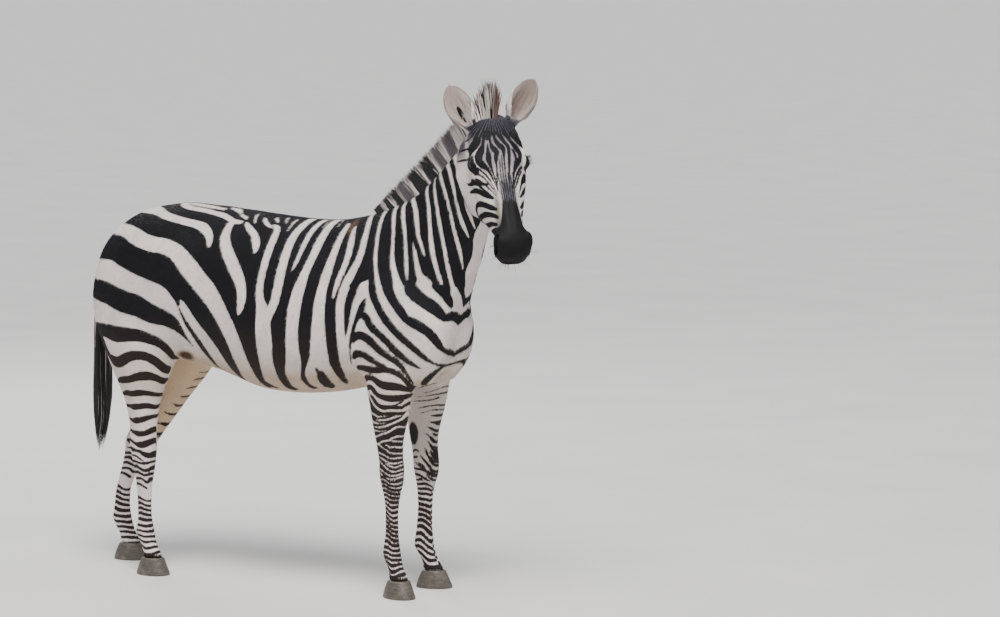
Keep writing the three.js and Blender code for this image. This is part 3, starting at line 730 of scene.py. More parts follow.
# Areas whose ground is white: haunches and hind legs, chest and forelegs
WHITE_REAR_GROUND = [
    (-950, 1070), (-700, 1070), (-650, 1058), (-600, 1041), (-550, 1027), (-500, 1010),
    (-455, 990), (-425, 955), (-400, 945), (-378, 965), (-365, 958), (-345, 925), (-320, 890),
    (-295, 860), (-272, 830), (-256, 800), (-246, 760), (-240, 700), (-240, 0), (-950, 0)]
WHITE_FRONT_GROUND = [
    (200, 0), (240, 600), (255, 740), (252, 840), (250, 890), (246, 940), (243, 990),
    (248, 1040), (325, 1070), (358, 1090), (436, 1062), (484, 1050), (500, 1090), (520, 1092),
    (537, 1074), (565, 1043), (602, 996), (606, 1046), (640, 1060),
    (700, 600), (700, 0)]
BLACK_REAR = [
    [(-860, 1000, 60), (-800, 1003, 68), (-700, 990, 78), (-650, 977, 80), (-600, 963, 80),
     (-550, 953, 78), (-500, 930, 72), (-450, 915, 60), (-420, 900, 50), (-400, 878, 32),
     (-380, 848, 14), (-362, 820, 4)],
    [(-387, 952, 6), (-375, 922, 13), (-362, 895, 18), (-345, 868, 22), (-325, 835, 26),
     (-310, 805, 26), (-298, 775, 22), (-294, 745, 12), (-290, 720, 4)],
    [(-800, 872, 20), (-775, 868, 26), (-750, 862, 42), (-700, 857, 52), (-650, 850, 58),
     (-600, 851, 52), (-550, 850, 44), (-500, 836, 38), (-476, 818, 32), (-466, 795, 22),
     (-466, 770, 12), (-468, 750, 6)],
    [(-745, 845, 30), (-730, 812, 32), (-712, 785, 28), (-695, 772, 20)],
    [(-715, 775, 16), (-700, 770, 20), (-675, 757, 34), (-650, 753, 37), (-625, 760, 38),
     (-600, 772, 36), (-575, 779, 34), (-550, 780, 32), (-525, 776, 32), (-505, 762, 30),
     (-492, 742, 24), (-486, 718, 12)],
    [(-680, 685, 8), (-660, 690, 18), (-640, 694, 26), (-600, 700, 26), (-575, 708, 28),
     (-550, 712, 32), (-525, 712, 30), (-508, 700, 22), (-503, 685, 14)],
    [(-668, 640, 10), (-643, 645, 16), (-625, 649, 22), (-600, 648, 22), (-575, 652, 24),
     (-550, 652, 20), (-530, 646, 18), (-522, 638, 10)],
    [(-650, 602, 10), (-620, 600, 14), (-600, 601, 20), (-575, 604, 18), (-555, 606, 18),
     (-538, 598, 14)],
    [(-660, 553, 6), (-620, 550, 14), (-600, 552, 20), (-575, 557, 18), (-555, 564, 14),
     (-542, 568, 10)],
    [(-655, 512, 8), (-620, 508, 14), (-600, 505, 18), (-575, 506, 16), (-560, 514, 16),
     (-548, 524, 12)],
    [(-665, 480, 10), (-640, 475, 10), (-615, 468, 12), (-598, 466, 18), (-585, 466, 22),
     (-570, 472, 20), (-555, 482, 14)],
    [(-665, 452, 10), (-640, 446, 14), (-615, 444, 10), (-597, 442, 10), (-580, 432, 16),
     (-565, 428, 18), (-555, 436, 14)],
    [(-650, 424, 5), (-620, 424, 7), (-600, 416, 7), (-590, 409, 6)],
    [(-655, 400, 10), (-630, 404, 9), (-600, 400, 8), (-580, 400, 9), (-560, 406, 7)],
    [(-653, 380, 9), (-625, 387, 11), (-605, 380, 10), (-590, 374, 10), (-575, 376, 11),
     (-562, 388, 8)],
    [(-648, 360, 8), (-625, 366, 10), (-605, 362, 9), (-590, 356, 8), (-570, 362, 9)],
    [(-645, 338, 8), (-620, 344, 9), (-600, 342, 8), (-585, 330, 8), (-575, 345, 8)],
    [(-645, 320, 9), (-625, 324, 9), (-605, 320, 8), (-590, 310, 8)],
]
BROWN_BELLY = [
    [(140, 772, 6), (146, 750, 22), (150, 720, 28), (152, 690, 30)],
    [(-96, 706, 24), (-72, 684, 18), (-40, 670, 8)], [(-4, 694, 22), (18, 678, 16), (45, 668, 7)],
    [(75, 706, 16), (95, 688, 12), (120, 680, 6)], [(-205, 708, 20), (-188, 690, 12)],
]
BLACK_CHEST = [
    [(306, 1110, 34), (298, 1090, 28), (283, 1040, 33), (271, 990, 27), (269, 940, 17),
     (266, 905, 10), (262, 885, 4)],
    [(330, 1120, 24), (341, 1090, 18), (354, 1040, 25), (379, 990, 22), (412, 940, 24),
     (440, 905, 24), (470, 875, 22), (505, 845, 20), (535, 815, 14), (552, 800, 8),
     (575, 790, 10), (620, 775, 10), (650, 768, 6)],
    # a stripe whose lower end, from about z 880 down, is painted shade in the fold behind the elbow
    [(332, 1010, 8), (325, 990, 20), (318, 965, 26), (304, 940, 14), (293, 910, 12),
     (283, 880, 10), (276, 850, 8), (270, 815, 5), (266, 785, 3)],
    [(325, 965, 24), (346, 944, 24), (360, 920, 26), (384, 897, 22), (408, 872, 22),
     (434, 842, 22), (466, 815, 18), (492, 795, 13), (512, 783, 5)],
    [(290, 868, 10), (300, 885, 24), (320, 890, 28), (345, 878, 30), (362, 860, 28),
     (388, 835, 22), (420, 815, 18), (448, 797, 16), (462, 775, 12), (470, 757, 8),
     (475, 735, 5)],
    [(282, 812, 12), (296, 826, 22), (318, 825, 22), (345, 810, 20), (375, 795, 16),
     (400, 786, 14)],
    [(288, 776, 14), (300, 778, 18), (330, 776, 20), (370, 775, 18), (410, 777, 16),
     (440, 768, 16), (458, 752, 12), (468, 730, 9), (474, 712, 6)],
    [(388, 1095, 46), (405, 1050, 36), (422, 1019, 30), (447, 986, 28), (476, 949, 25),
     (508, 932, 34), (545, 906, 26), (566, 874, 20), (580, 847, 14), (610, 830, 22),
     (650, 812, 22)],
    [(474, 1060, 30), (480, 1044, 42), (509, 1015, 40), (540, 995, 40), (565, 973, 34),
     (586, 951, 20), (610, 957, 34), (650, 945, 44)],
    [(553, 1058, 22), (577, 1040, 34), (592, 1022, 34), (600, 1006, 26), (606, 988, 10)],
    # the last stroke is painted shade in the crease where the breast meets the foreleg
    [(575, 785, 7), (540, 762, 12), (512, 740, 12), (488, 722, 7)],
]
BLACK_FORELEG = [
    [(303, 740, 14), (322, 747, 16), (342, 751, 14), (362, 747, 14), (382, 737, 18),
     (402, 730, 20), (425, 728, 20), (445, 725, 18), (462, 717, 12), (467, 710, 6)],
    [(310, 712, 10), (328, 718, 14), (345, 722, 12), (358, 713, 16), (368, 702, 14),
     (385, 693, 14), (412, 688, 18), (435, 688, 18), (455, 692, 14), (462, 697, 8)],
    [(315, 682, 8), (332, 685, 14), (343, 688, 12), (355, 677, 14), (365, 663, 16),
     (385, 655, 16), (408, 653, 18), (432, 655, 18), (452, 670, 14), (460, 677, 8)],
]
# Between the elbow and the knee the ground is black, with thin white lines
KNEE_GROUND = [(300, 690), (332, 685), (343, 688), (355, 677), (365, 663), (385, 655), (408, 653),
               (432, 655), (452, 670), (490, 690), (490, 405), (300, 405)]
WHITE_KNEE = [
    [(316, 700, 9), (330, 690, 10), (342, 674, 10), (355, 658, 10), (376, 646, 9), (393, 644, 9),
     (414, 647, 8), (432, 646, 8), (447, 646, 9), (456, 652, 10), (470, 664, 10)],
    [(436, 663, 2), (446, 666, 6), (453, 671, 7), (462, 680, 8)],
    [(310, 642, 9), (331, 631, 9), (347, 626, 8), (363, 622, 6), (380, 624, 2)],
    [(347, 608, 2), (371, 611, 6), (393, 613, 6), (415, 619, 6), (430, 626, 6), (445, 628, 2)],
    [(312, 606, 8), (330, 601, 7), (348, 598, 6), (370, 599, 2)],
    [(335, 584, 2), (356, 584, 5), (377, 588, 6), (395, 592, 6), (409, 599, 6), (425, 606, 6),
     (436, 612, 6), (444, 618, 6), (454, 635, 7), (466, 650, 8)],
    [(312, 575, 6), (332, 572, 5), (348, 571, 4), (368, 572, 2)],
    [(316, 548, 6), (335, 549, 6), (351, 554, 6), (374, 563, 6), (392, 568, 6), (407, 576, 6),
     (417, 583, 6), (425, 588, 6), (435, 590, 6), (444, 585, 6), (460, 578, 6)],
    [(320, 527, 6), (340, 526, 6), (354, 528, 6), (371, 537, 6), (389, 541, 6), (403, 544, 6),
     (408, 549, 6), (416, 553, 6), (426, 557, 6), (438, 553, 6), (455, 548, 6)],
    [(408, 541, 2), (418, 540, 5), (426, 539, 5), (440, 533, 5)],
    [(386, 526, 2), (395, 524, 5), (401, 519, 5), (413, 521, 6), (423, 519, 6), (440, 512, 6)],
    [(340, 524, 4), (358, 522, 4.6), (374, 515, 4.6), (387, 510, 4.6), (398, 502, 4.6),
     (407, 499, 4.6), (418, 498, 4.6), (440, 496, 4.6)],
    [(335, 500, 4.6), (357, 496, 4.6), (378, 492, 4.6), (394, 485, 4.6), (404, 482, 4.6),
     (416, 482, 4.6), (440, 484, 4.6)],
    [(335, 487, 4), (349, 483, 4), (369, 479, 4.6), (386, 472, 4.6), (401, 466, 4.6),
     (414, 465, 4.6), (423, 466, 4.6), (440, 472, 4.6)],
    [(340, 470, 4), (360, 466, 4), (373, 459, 4.6), (387, 449, 4.6), (398, 443, 4.6),
     (409, 438, 4.6), (420, 438, 4.6), (430, 442, 4.6), (442, 450, 4.6)],
    [(386, 464, 2), (398, 458, 4), (409, 453, 4.6), (420, 452, 4.6), (430, 458, 4), (442, 464, 4)],
    [(342, 446, 4), (365, 440, 4.6), (382, 432, 4.6), (398, 425, 4.6), (412, 424, 4.6),
     (422, 425, 4.6), (432, 430, 4.6), (444, 436, 4.6)],
    [(342, 434, 4), (359, 429, 4.6), (373, 419, 4.6), (386, 414, 4.6), (405, 413, 4.6),
     (420, 414, 4.6), (430, 418, 4.6), (444, 424, 4.6)],
]
# the rows run on round the front of the leg
WHITE_KNEE = [row + [(row[-1][0] + 24, row[-1][1] + 4, row[-1][2])] for row in WHITE_KNEE]
BLACK_STROKES = [(BLACK_REAR[:7], 1.0), (BLACK_REAR[7:], 1.2), (BLACK_CHEST, 1.2),
                 (BLACK_FORELEG, 1.35)]
# Dark lines of the face, w, u, width: the right half, then the left
FACE_LINES = [
    [(-64, 92, 10), (-71, 100, 17), (-79, 110, 17), (-83, 120, 11), (-88, 130, 6)],
    [(-38, 72, 6), (-45, 92, 6), (-52, 112, 6), (-55, 122, 8), (-61, 132, 12), (-66, 142, 15),
     (-71, 152, 15), (-74, 163, 14), (-72, 175, 13), (-66, 185, 12), (-58, 195, 9),
     (-51, 205, 7), (-46, 217, 5), (-42, 230, 4), (-38, 245, 3)],
    [(-38, 118, 2), (-41, 130, 4), (-42, 140, 6), (-42, 150, 9), (-43, 160, 10), (-43, 170, 11),
     (-43, 180, 9), (-42, 190, 7), (-40, 200, 5), (-38, 212, 4), (-35, 228, 3), (-33, 242, 3)],
    [(-27, 70, 6), (-29, 97, 6), (-29, 110, 5), (-28, 120, 6), (-26, 130, 10), (-22, 138, 12),
     (-17, 146, 12), (-14, 152, 10), (-17, 160, 9), (-20, 170, 8), (-21, 180, 7), (-22, 190, 4),
     (-22, 205, 3), (-24, 222, 3), (-26, 240, 3)],
    [(-13, 75, 4), (-12, 100, 6), (-9, 112, 9), (-5, 122, 10), (1, 130, 12), (6, 136, 12),
     (9, 143, 9), (9, 152, 7), (8, 162, 6), (7, 172, 4), (6, 185, 3), (5, 200, 3), (2, 238, 2)],
    [(-1, 165, 2), (-3, 200, 2.4), (-5, 235, 2)],
    [(-9, 175, 2), (-11, 205, 2.4), (-13, 230, 2)],
    [(-2, 78, 5), (3, 90, 7), (8, 100, 8), (14, 110, 9), (20, 120, 8), (26, 130, 8),
     (28, 140, 7), (26, 160, 7), (25, 170, 6), (22, 190, 6), (20, 202, 5), (16, 230, 3),
     (14, 245, 3)],
    [(24, 76, 6), (28, 88, 8), (34, 100, 9), (38, 110, 8), (45, 120, 9), (52, 130, 13),
     (58, 140, 14), (63, 150, 11), (65, 160, 9), (64, 170, 8), (60, 178, 9), (52, 185, 12),
     (48, 192, 12), (43, 202, 9), (38, 213, 7), (33, 226, 5), (26, 255, 3)],
    [(40, 143, 4), (44, 152, 6), (47, 162, 6), (48, 172, 6), (49, 182, 6)],
    [(50, 85, 14), (62, 95, 18), (72, 103, 20), (82, 110, 14)],
    [(66, 200, 4), (56, 210, 5), (49, 220, 5), (43, 230, 5), (38, 240, 4), (33, 252, 4)],
    [(62, 215, 3), (54, 228, 3), (42, 252, 4)],
    [(84, 218, 8), (76, 228, 12), (68, 238, 9), (60, 250, 6), (55, 262, 4)],
    [(-82, 190, 2.4), (-74, 197, 2.8), (-66, 209, 2.8), (-58, 222, 3), (-50, 238, 2.6),
     (-45, 253, 2.4)],
    [(-85, 199, 2.4), (-76, 211, 2.6), (-68, 222, 2.6), (-61, 234, 2.6), (-50, 258, 2.4)],
    [(-87, 212, 2.4), (-79, 224, 2.6), (-71, 236, 2.6), (-64, 247, 2.6), (-56, 262, 2.4)],
    [(-88, 224, 2.6), (-81, 236, 3), (-74, 248, 3), (-68, 258, 2.8), (-60, 272, 2.4)],
]
# Bands of both cheeks, u, v, width, from the nose downward, then behind the eye
CHEEK_BANDS = [
    [(252, -18, 5), (240, -32, 10), (228, -48, 13), (213, -68, 16), (204, -95, 12),
     (193, -120, 6), (182, -132, 3)],
    [(300, -24, 6), (290, -32, 10), (275, -42, 13), (252, -60, 14), (238, -80, 13),
     (228, -102, 12), (220, -124, 6)],
    [(338, -30, 8), (328, -40, 12), (314, -52, 14), (292, -76, 15), (277, -104, 14),
     (269, -124, 11), (274, -145, 7), (282, -165, 5), (285, -185, 4), (276, -210, 3)],
    [(365, -35, 8), (345, -55, 13), (326, -85, 14), (311, -120, 13), (299, -150, 12),
     (287, -190, 8)],
    [(384, -50, 8), (368, -74, 11), (353, -108, 12), (334, -147, 11), (311, -190, 8),
     (300, -210, 5)],
    [(398, -60, 10), (388, -85, 12), (376, -124, 12), (355, -165, 8)],
    [(145, -20, 8), (126, -74, 8), (112, -100, 8), (100, -130, 5)],
    [(110, -30, 10), (85, -80, 8), (75, -110, 5)],
    [(75, -30, 8), (60, -70, 6)],
]
FAR = 60.0                         # fields are not followed further than this from an edge


def widened(strokes, scale):
    """The same strokes with their narrow parts widened."""
    return [[(first, second, width * (1 + (scale - 1) * np.clip((32 - width) / 12, 0, 1)))
             for first, second, width in stroke] for stroke in strokes]


def paint_strokes(field, places, strokes, sign, where=True):
    """Paints strokes into a field that is positive on black and negative on white."""
    for stroke in strokes:
        rows = smooth_rows(stroke, 3)
        reach = rows[:, 2].max() / 2 + 26
        low, high = rows[:, :2].min(0) - reach, rows[:, :2].max(0) + reach
        near = ((places > low) & (places < high)).all(1) & where
        near = np.flatnonzero(near)
        spot = places[near]
        inside = np.full(len(near), -FAR)
        for start, end in zip(rows, rows[1:]):
            step = end[:2] - start[:2]
            t = np.clip((spot - start[:2]) @ step / (step @ step), 0, 1)
            away = np.linalg.norm(spot - start[:2] - t[:, None] * step, axis=1)
            inside = np.maximum(inside, (start[2] + (end[2] - start[2]) * t) / 2 - away)
        if sign > 0:
            field[near] = np.maximum(field[near], inside)
        else:
            field[near] = np.minimum(field[near], -inside)


def polygon_depth(places, corners):
    """Distance inside a closed outline, negative outside it."""
    corners = np.array(corners, float)
    inside = np.zeros(len(places), bool)
    away = np.full(len(places), FAR * FAR)
    for start, end in zip(corners, np.roll(corners, -1, 0)):
        step = end - start
        t = np.clip((places - start) @ step / (step @ step), 0, 1)
        away = np.minimum(away, ((places - start - t[:, None] * step) ** 2).sum(1))
        level = (start[1] > places[:, 1]) != (end[1] > places[:, 1])
        rise = step[1] if step[1] else 1.0
        inside ^= level & (places[:, 0] < start[0] + (places[:, 1] - start[1]) * step[0] / rise)
    return np.where(inside, 1, -1) * np.minimum(np.sqrt(away), FAR)


def side_view(points):
    """Place of each point on the right side's pattern; the left side's is a little warped."""
    x, y, z = points.T
    aside = side_of(points)
    far = smoothstep(0, 80, aside)
    left_hind = smoothstep(-380, -440, x) * (y > 0)
    x = x + setback(z) * left_hind
    chest = 12 * np.log1p(np.exp((110 - np.abs(aside)) / 12)) * 0.45 * smoothstep(480, 560, x)
    along = x + chest + far * (14 * np.sin(z / 95 + 1) + 10 * np.sin(x / 130))
    height = z + far * (12 * np.sin(x / 110 + 0.5) + 5 * np.sin(z / 60))
    dip = 17 * smoothstep(880, 930, z) + 14 * smoothstep(940, 860, z)
    dip = np.exp(-np.abs(aside) / 32) * dip
    height += dip * smoothstep(480, 560, x) * smoothstep(790, 830, z)
    height += 6.0 * smoothstep(780, 700, z) * (np.abs(x - 40) > 200)
    return np.stack([along, height], 1)


KNEE_PITCH = {"left": 18.0, "right": 15.0}    # spacing of the bands at the knee
KNEE_WIDENING = 0.007                      # how the spacing grows for each mm downwards
FETLOCK_PITCH = 18.5


def throat_field(points, field):
    """The pale front of the neck, over the V where the stripes of both sides meet."""
    x, _, z = points.T
    aside = np.abs(side_of(points))
    front = np.interp(z, THROAT[:, 1], THROAT[:, 0]) - x
    slope = np.where(side_of(points) < 0, 1.2, 0.5)
    half = np.where(side_of(points) < 0, 26, 40)
    pale = np.minimum(half + 5 * np.sin(z / 19) - aside, z - 1010 - slope * aside)
    pale = np.minimum(pale, 60 - front)
    arm = np.minimum(16 - np.abs(z - 994 - 1.1 * slope * aside), 56 - aside)
    arm = np.where((x > 560) & (z < 1085), arm, -FAR)
    return np.maximum(np.minimum(field, -pale), arm)


def leg_bands(points, places, field):
    """The thin bands of the lower legs, below the strokes; they widen towards the foot."""
    _, _, legs = region_masks(points)
    x, z = places.T
    left = points[:, 1] > 0
    wobble = 2.2 * np.sin(x / 13 + z / 31) + 1.6 * np.sin(z / 17 + points[:, 1] / 9)
    inner = left & (points[:, 1] < 112)
    drop = np.where(inner, 34 * smoothstep(380, 432, x),
                    13 * smoothstep(372, 402, x) - 5 * smoothstep(410, 430, x))
    below = np.where(inner, 378, 422) - (z + drop + wobble)
    knee = np.where(left, KNEE_PITCH["left"], KNEE_PITCH["right"])
    number = np.log1p(KNEE_WIDENING * np.maximum(below, 0) / knee) / KNEE_WIDENING + 0.12
    pitch = knee + KNEE_WIDENING * np.maximum(below, 0)
    black = 0.76 + 0.07 * np.sin(z / 23 + x / 17) - 0.08 * left
    fore = pitch * (black / 2 - np.abs(number % 1 - 0.5))
    fore_leg = (legs["fore_left"] + legs["fore_right"] > 0.5) & (below > 1)
    field = np.where(fore_leg, fore, field)
    below = 292 - z - wobble - 6 * smoothstep(-620, -590, x)
    black = 0.58 + 0.10 * np.sin(z / 27 + x / 19)
    hind = FETLOCK_PITCH * (black / 2 - np.abs((below / FETLOCK_PITCH + 0.5) % 1 - 0.5))
    hind_leg = legs["hind_left"] + legs["hind_right"] > 0.5
    field = np.where(hind_leg & (below > 5), hind, field)
    heel = np.where(hind_leg, 10 - np.hypot(z - 142, (x + 650) / 1.4),
                    10 - np.hypot(z - 142, (x - 340) / 1.4))
    feet = np.maximum(8 - np.abs(z - 70), heel)
    return np.where(hind_leg | fore_leg, np.maximum(field, feet), field)


# Marks on the inner sides: x, z, width, of the foreleg and then of the hind leg
INNER_MARKS = [
    [(380, 642, 2), (414, 646, 4), (446, 650, 4), (465, 657, 5)],
    [(396, 658, 2), (432, 664, 3), (477, 672, 5), (490, 684, 5)],
    [(425, 674, 2), (455, 682, 3), (485, 696, 4)],
    [(403, 689, 2), (442, 702, 3), (477, 712, 4)],
    [(391, 619, 2), (406, 621, 3), (422, 625, 4), (436, 628, 4), (450, 630, 5), (462, 631, 6),
     (475, 625, 6)],
    [(434, 613, 2), (442, 614, 3), (452, 615, 5), (468, 612, 6)],
    [(404, 602, 2), (420, 606, 3), (431, 609, 2)],
    [(438, 595, 2), (446, 594, 6), (456, 594, 9), (470, 594, 9)],
    [(430, 575, 2), (437, 571, 5), (447, 570, 8), (462, 573, 8)],
    [(445, 570, 6), (452, 560, 6), (458, 548, 6)],
    [(423, 554, 2), (430, 553, 5), (436, 549, 8), (442, 541, 9), (452, 534, 9), (462, 532, 8)],
    [(436, 531, 5), (438, 524, 7), (446, 520, 8), (458, 524, 8)],
    [(411, 534, 2), (419, 530, 4), (425, 522, 7), (427, 513, 8), (429, 502, 8), (438, 498, 8),
     (452, 502, 8)],
    [(413, 510, 2), (418, 496, 5), (422, 481, 7), (426, 470, 7), (429, 455, 7)],
    [(425, 488, 3), (429, 478, 6), (440, 470, 6)],
    [(413, 477, 2), (419, 468, 6), (423, 458, 7), (429, 446, 8), (440, 436, 8)],
    [(400, 486, 2), (404, 475, 6), (408, 462, 7), (414, 452, 7), (421, 444, 7), (431, 433, 7),
     (445, 426, 7)],
    [(386, 456, 3), (396, 445, 7), (406, 435, 8), (413, 424, 8), (418, 414, 8), (424, 403, 8),
     (440, 396, 8)],
    [(416, 443, 3), (423, 431, 7), (431, 420, 7), (445, 412, 7)],
    [(345, 462, 6), (353, 468, 6), (365, 474, 7), (376, 472, 6), (380, 468, 3)],
    [(340, 446, 8), (362, 449, 8), (372, 451, 7)],
    [(362, 433, 3), (371, 426, 6), (384, 420, 7), (395, 414, 7), (406, 405, 7), (417, 398, 7),
     (429, 389, 7), (444, 382, 7)],
    [(374, 434, 2), (380, 430, 5), (392, 424, 6), (403, 416, 4)],
    [(335, 418, 7), (350, 412, 7), (366, 409, 7), (384, 408, 7), (399, 405, 7), (411, 397, 7),
     (421, 387, 7), (440, 376, 7)],
    [(335, 388, 9), (360, 390, 9), (378, 388, 9), (393, 382, 8), (406, 372, 8), (414, 366, 4)],
    [(404, 391, 3), (413, 382, 7), (423, 369, 7), (440, 362, 7)],
    [(-470, 696, 6), (-495, 688, 5), (-518, 690, 2)],
    [(-455, 676, 8), (-495, 668, 6), (-513, 665, 5), (-531, 660, 4), (-552, 663, 2)],
    [(-485, 642, 9), (-510, 636, 7), (-528, 633, 6), (-550, 628, 5), (-578, 629, 2)],
    [(-495, 605, 11), (-520, 599, 9), (-542, 598, 7), (-552, 601, 5), (-563, 606, 2)],
    [(-500, 574, 13), (-530, 564, 10), (-548, 564, 8), (-556, 570, 5), (-569, 579, 2)],
    [(-505, 540, 13), (-535, 531, 10), (-553, 532, 8), (-566, 538, 5), (-579, 544, 2)],
    [(-512, 507, 14), (-540, 495, 13), (-555, 494, 12), (-562, 498, 9), (-585, 502, 5)],
    [(-518, 468, 13), (-545, 459, 12), (-560, 459, 10), (-590, 462, 6)],
    [(-520, 728, 8), (-552, 720, 9), (-580, 714, 4)],
]


def inner_legs(points, normals, field):
    """Paler inner sides of the legs, with their own marks; the left legs' fronts have them too."""
    x, y, z = points.T
    left = y > 0
    front = np.where(left, 0.8 * np.maximum(normals[:, 0], 0), 0)
    inward = smoothstep(0.05, 0.4, front - normals[:, 1] * np.sign(y))
    foot = 378 - 34 * smoothstep(380, 432, x)
    fore_pale = inward * (x > 250) * (x < 520) * (z > foot) * smoothstep(860, 780, z)
    x = x + setback(z) * (x < -380) * left + 15 * smoothstep(470, 560, z) * (x > 0)
    hind_pale = inward * (x < -380) * smoothstep(445, 455, z) * smoothstep(1000, 900, z)
    marks = np.full(len(points), -20.0)
    paint_strokes(marks, np.stack([x, z], 1), widened(INNER_MARKS, 1.15), 1)
    pale = np.clip(fore_pale + hind_pale, 0, 1)
    return field + (marks - field) * pale, pale


FACE_WIDER, CHEEK_WIDER = 1.75, 1.45       # hair over the edges makes thin lines look thinner


def faded(stroke):
    """A face line carried on towards the nose until it has thinned away."""
    (w_before, u_before, _), (w, u, _) = stroke[-2:]
    if u < 220:
        return stroke
    slope = (w - w_before) / (u - u_before)
    return stroke + [(w + 45 * slope, u + 45, 0.6)]


def head_field(points, normals):
    """Markings of the head in its own axes, and how much of each special tone is there."""
    uvw = to_head(points)
    u, v, w = uvw.T
    facing = normals @ HEAD_AXES.T
    front = smoothstep(-0.15, 0.25, facing[:, 1])
    field = np.full(len(points), -26.0)
    face = np.full(len(points), -FAR)
    lines = widened([faded(line) for line in FACE_LINES], FACE_WIDER)
    paint_strokes(face, np.stack([w, u], 1), lines, 1, v > -48)
    cheek = np.full(len(points), -FAR)
    bands = widened(CHEEK_BANDS[:6], CHEEK_WIDER) + CHEEK_BANDS[6:]
    paint_strokes(cheek, np.stack([u, v], 1), bands, 1, np.abs(w) > 24)
    field = np.maximum(field, np.maximum(face - (1 - front) * 9, cheek))
    # the crown is nearly black, with thin dull lines that fan out
    spread = np.hypot(w - 4, u + 14)
    turns = np.arctan2(w - 4, u + 14) * 9.5 + 0.12 * np.sin(u / 7 + w / 9) + 0.25
    fan = np.abs(turns % 1 - 0.5) * spread / 9.5 - 1.25
    crown = np.minimum(96 - u + 9 * np.sin(w / 8), 2.0 * np.maximum(fan, 30 - spread))
    crown = crown - 30 * (1 - front) - 1.2 * np.maximum(np.abs(w) - 76, 0)
    field = np.maximum(field, np.where(u > 18, crown, -FAR))
    # fine lines run down the bridge to the muzzle
    pitch = 8.0 - 0.012 * np.clip(u - 250, 0, 80)
    fine = 1.7 - pitch * np.abs(((w - 3) / pitch + 0.5) % 1 - 0.5)
    fine = fine - np.maximum(np.abs(w - 3) - 26, 0) - 0.4 * np.maximum(225 - u, 0)
    field = np.maximum(field, np.where((v > -48) & (u > 205) & (front > 0.5), fine, -FAR))
    socket = 1 - np.hypot((u - 174) / 36, (v + 30) / 19)
    field = np.maximum(field, np.where(np.abs(w) > 60, 22 * socket, -FAR))
    muzzle = u - (322 + 76 * smoothstep(19, 42, np.abs(w - 2))) + 4 * np.sin(w / 4)
    muzzle = np.maximum(muzzle, u - 400 + 8 * np.sin(v / 17))
    bridge = smoothstep(38, 14, np.abs(w - 4)) * smoothstep(180, 275, u) * front
    tan = smoothstep(14, 2, np.abs(w + 37)) * smoothstep(262, 330, u) * front
    return field, smoothstep(-12, 6, muzzle), bridge, tan


LIGHT_HAIR = np.array([0.70, 0.625, 0.59])
BELLY_HAIR = np.array([0.50, 0.385, 0.30])
INNER_HAIR = np.array([0.52, 0.44, 0.41])
HIND_INNER_HAIR = np.array([0.55, 0.41, 0.275])
DARK_HAIR = np.array([0.0040, 0.0036, 0.0058])
BROWN_HAIR = np.array([0.018, 0.0105, 0.0085])
MUZZLE_SKIN = np.array([0.0044, 0.0036, 0.0042])
BRIDGE_HAIR = np.array([0.068, 0.063, 0.080])
FOREHEAD_HAIR = np.array([0.29, 0.245, 0.26])
TAN_HAIR = np.array([0.17, 0.135, 0.115])
INNER_DARK = np.array([0.085, 0.048, 0.026])
EAR_RIM = np.array([0.15, 0.11, 0.09])
EAR_HOLLOW_SHADE = (-0.15, 0.36)             # middle of the painted shade in the ear's hollow: share across, share along
CROWN_HAIR = np.array([0.066, 0.062, 0.080])
CHEEK_EDGE = (650.0, 1400.0, 0.362)     # x and height on the line behind the cheek, its slope
EAR_INSIDE = np.array([0.40, 0.32, 0.285])
# painted shade: dark brown of the fold of the flank
FOLD_SHADE_HAIR = np.array([0.060, 0.024, 0.006])
CHESTNUT = np.array([0.020, 0.017, 0.017])
WITHERS_BROWN = np.array([0.075, 0.045, 0.028])


def blend_colour(base, other, share):
    return base + (other - base) * share[:, None]


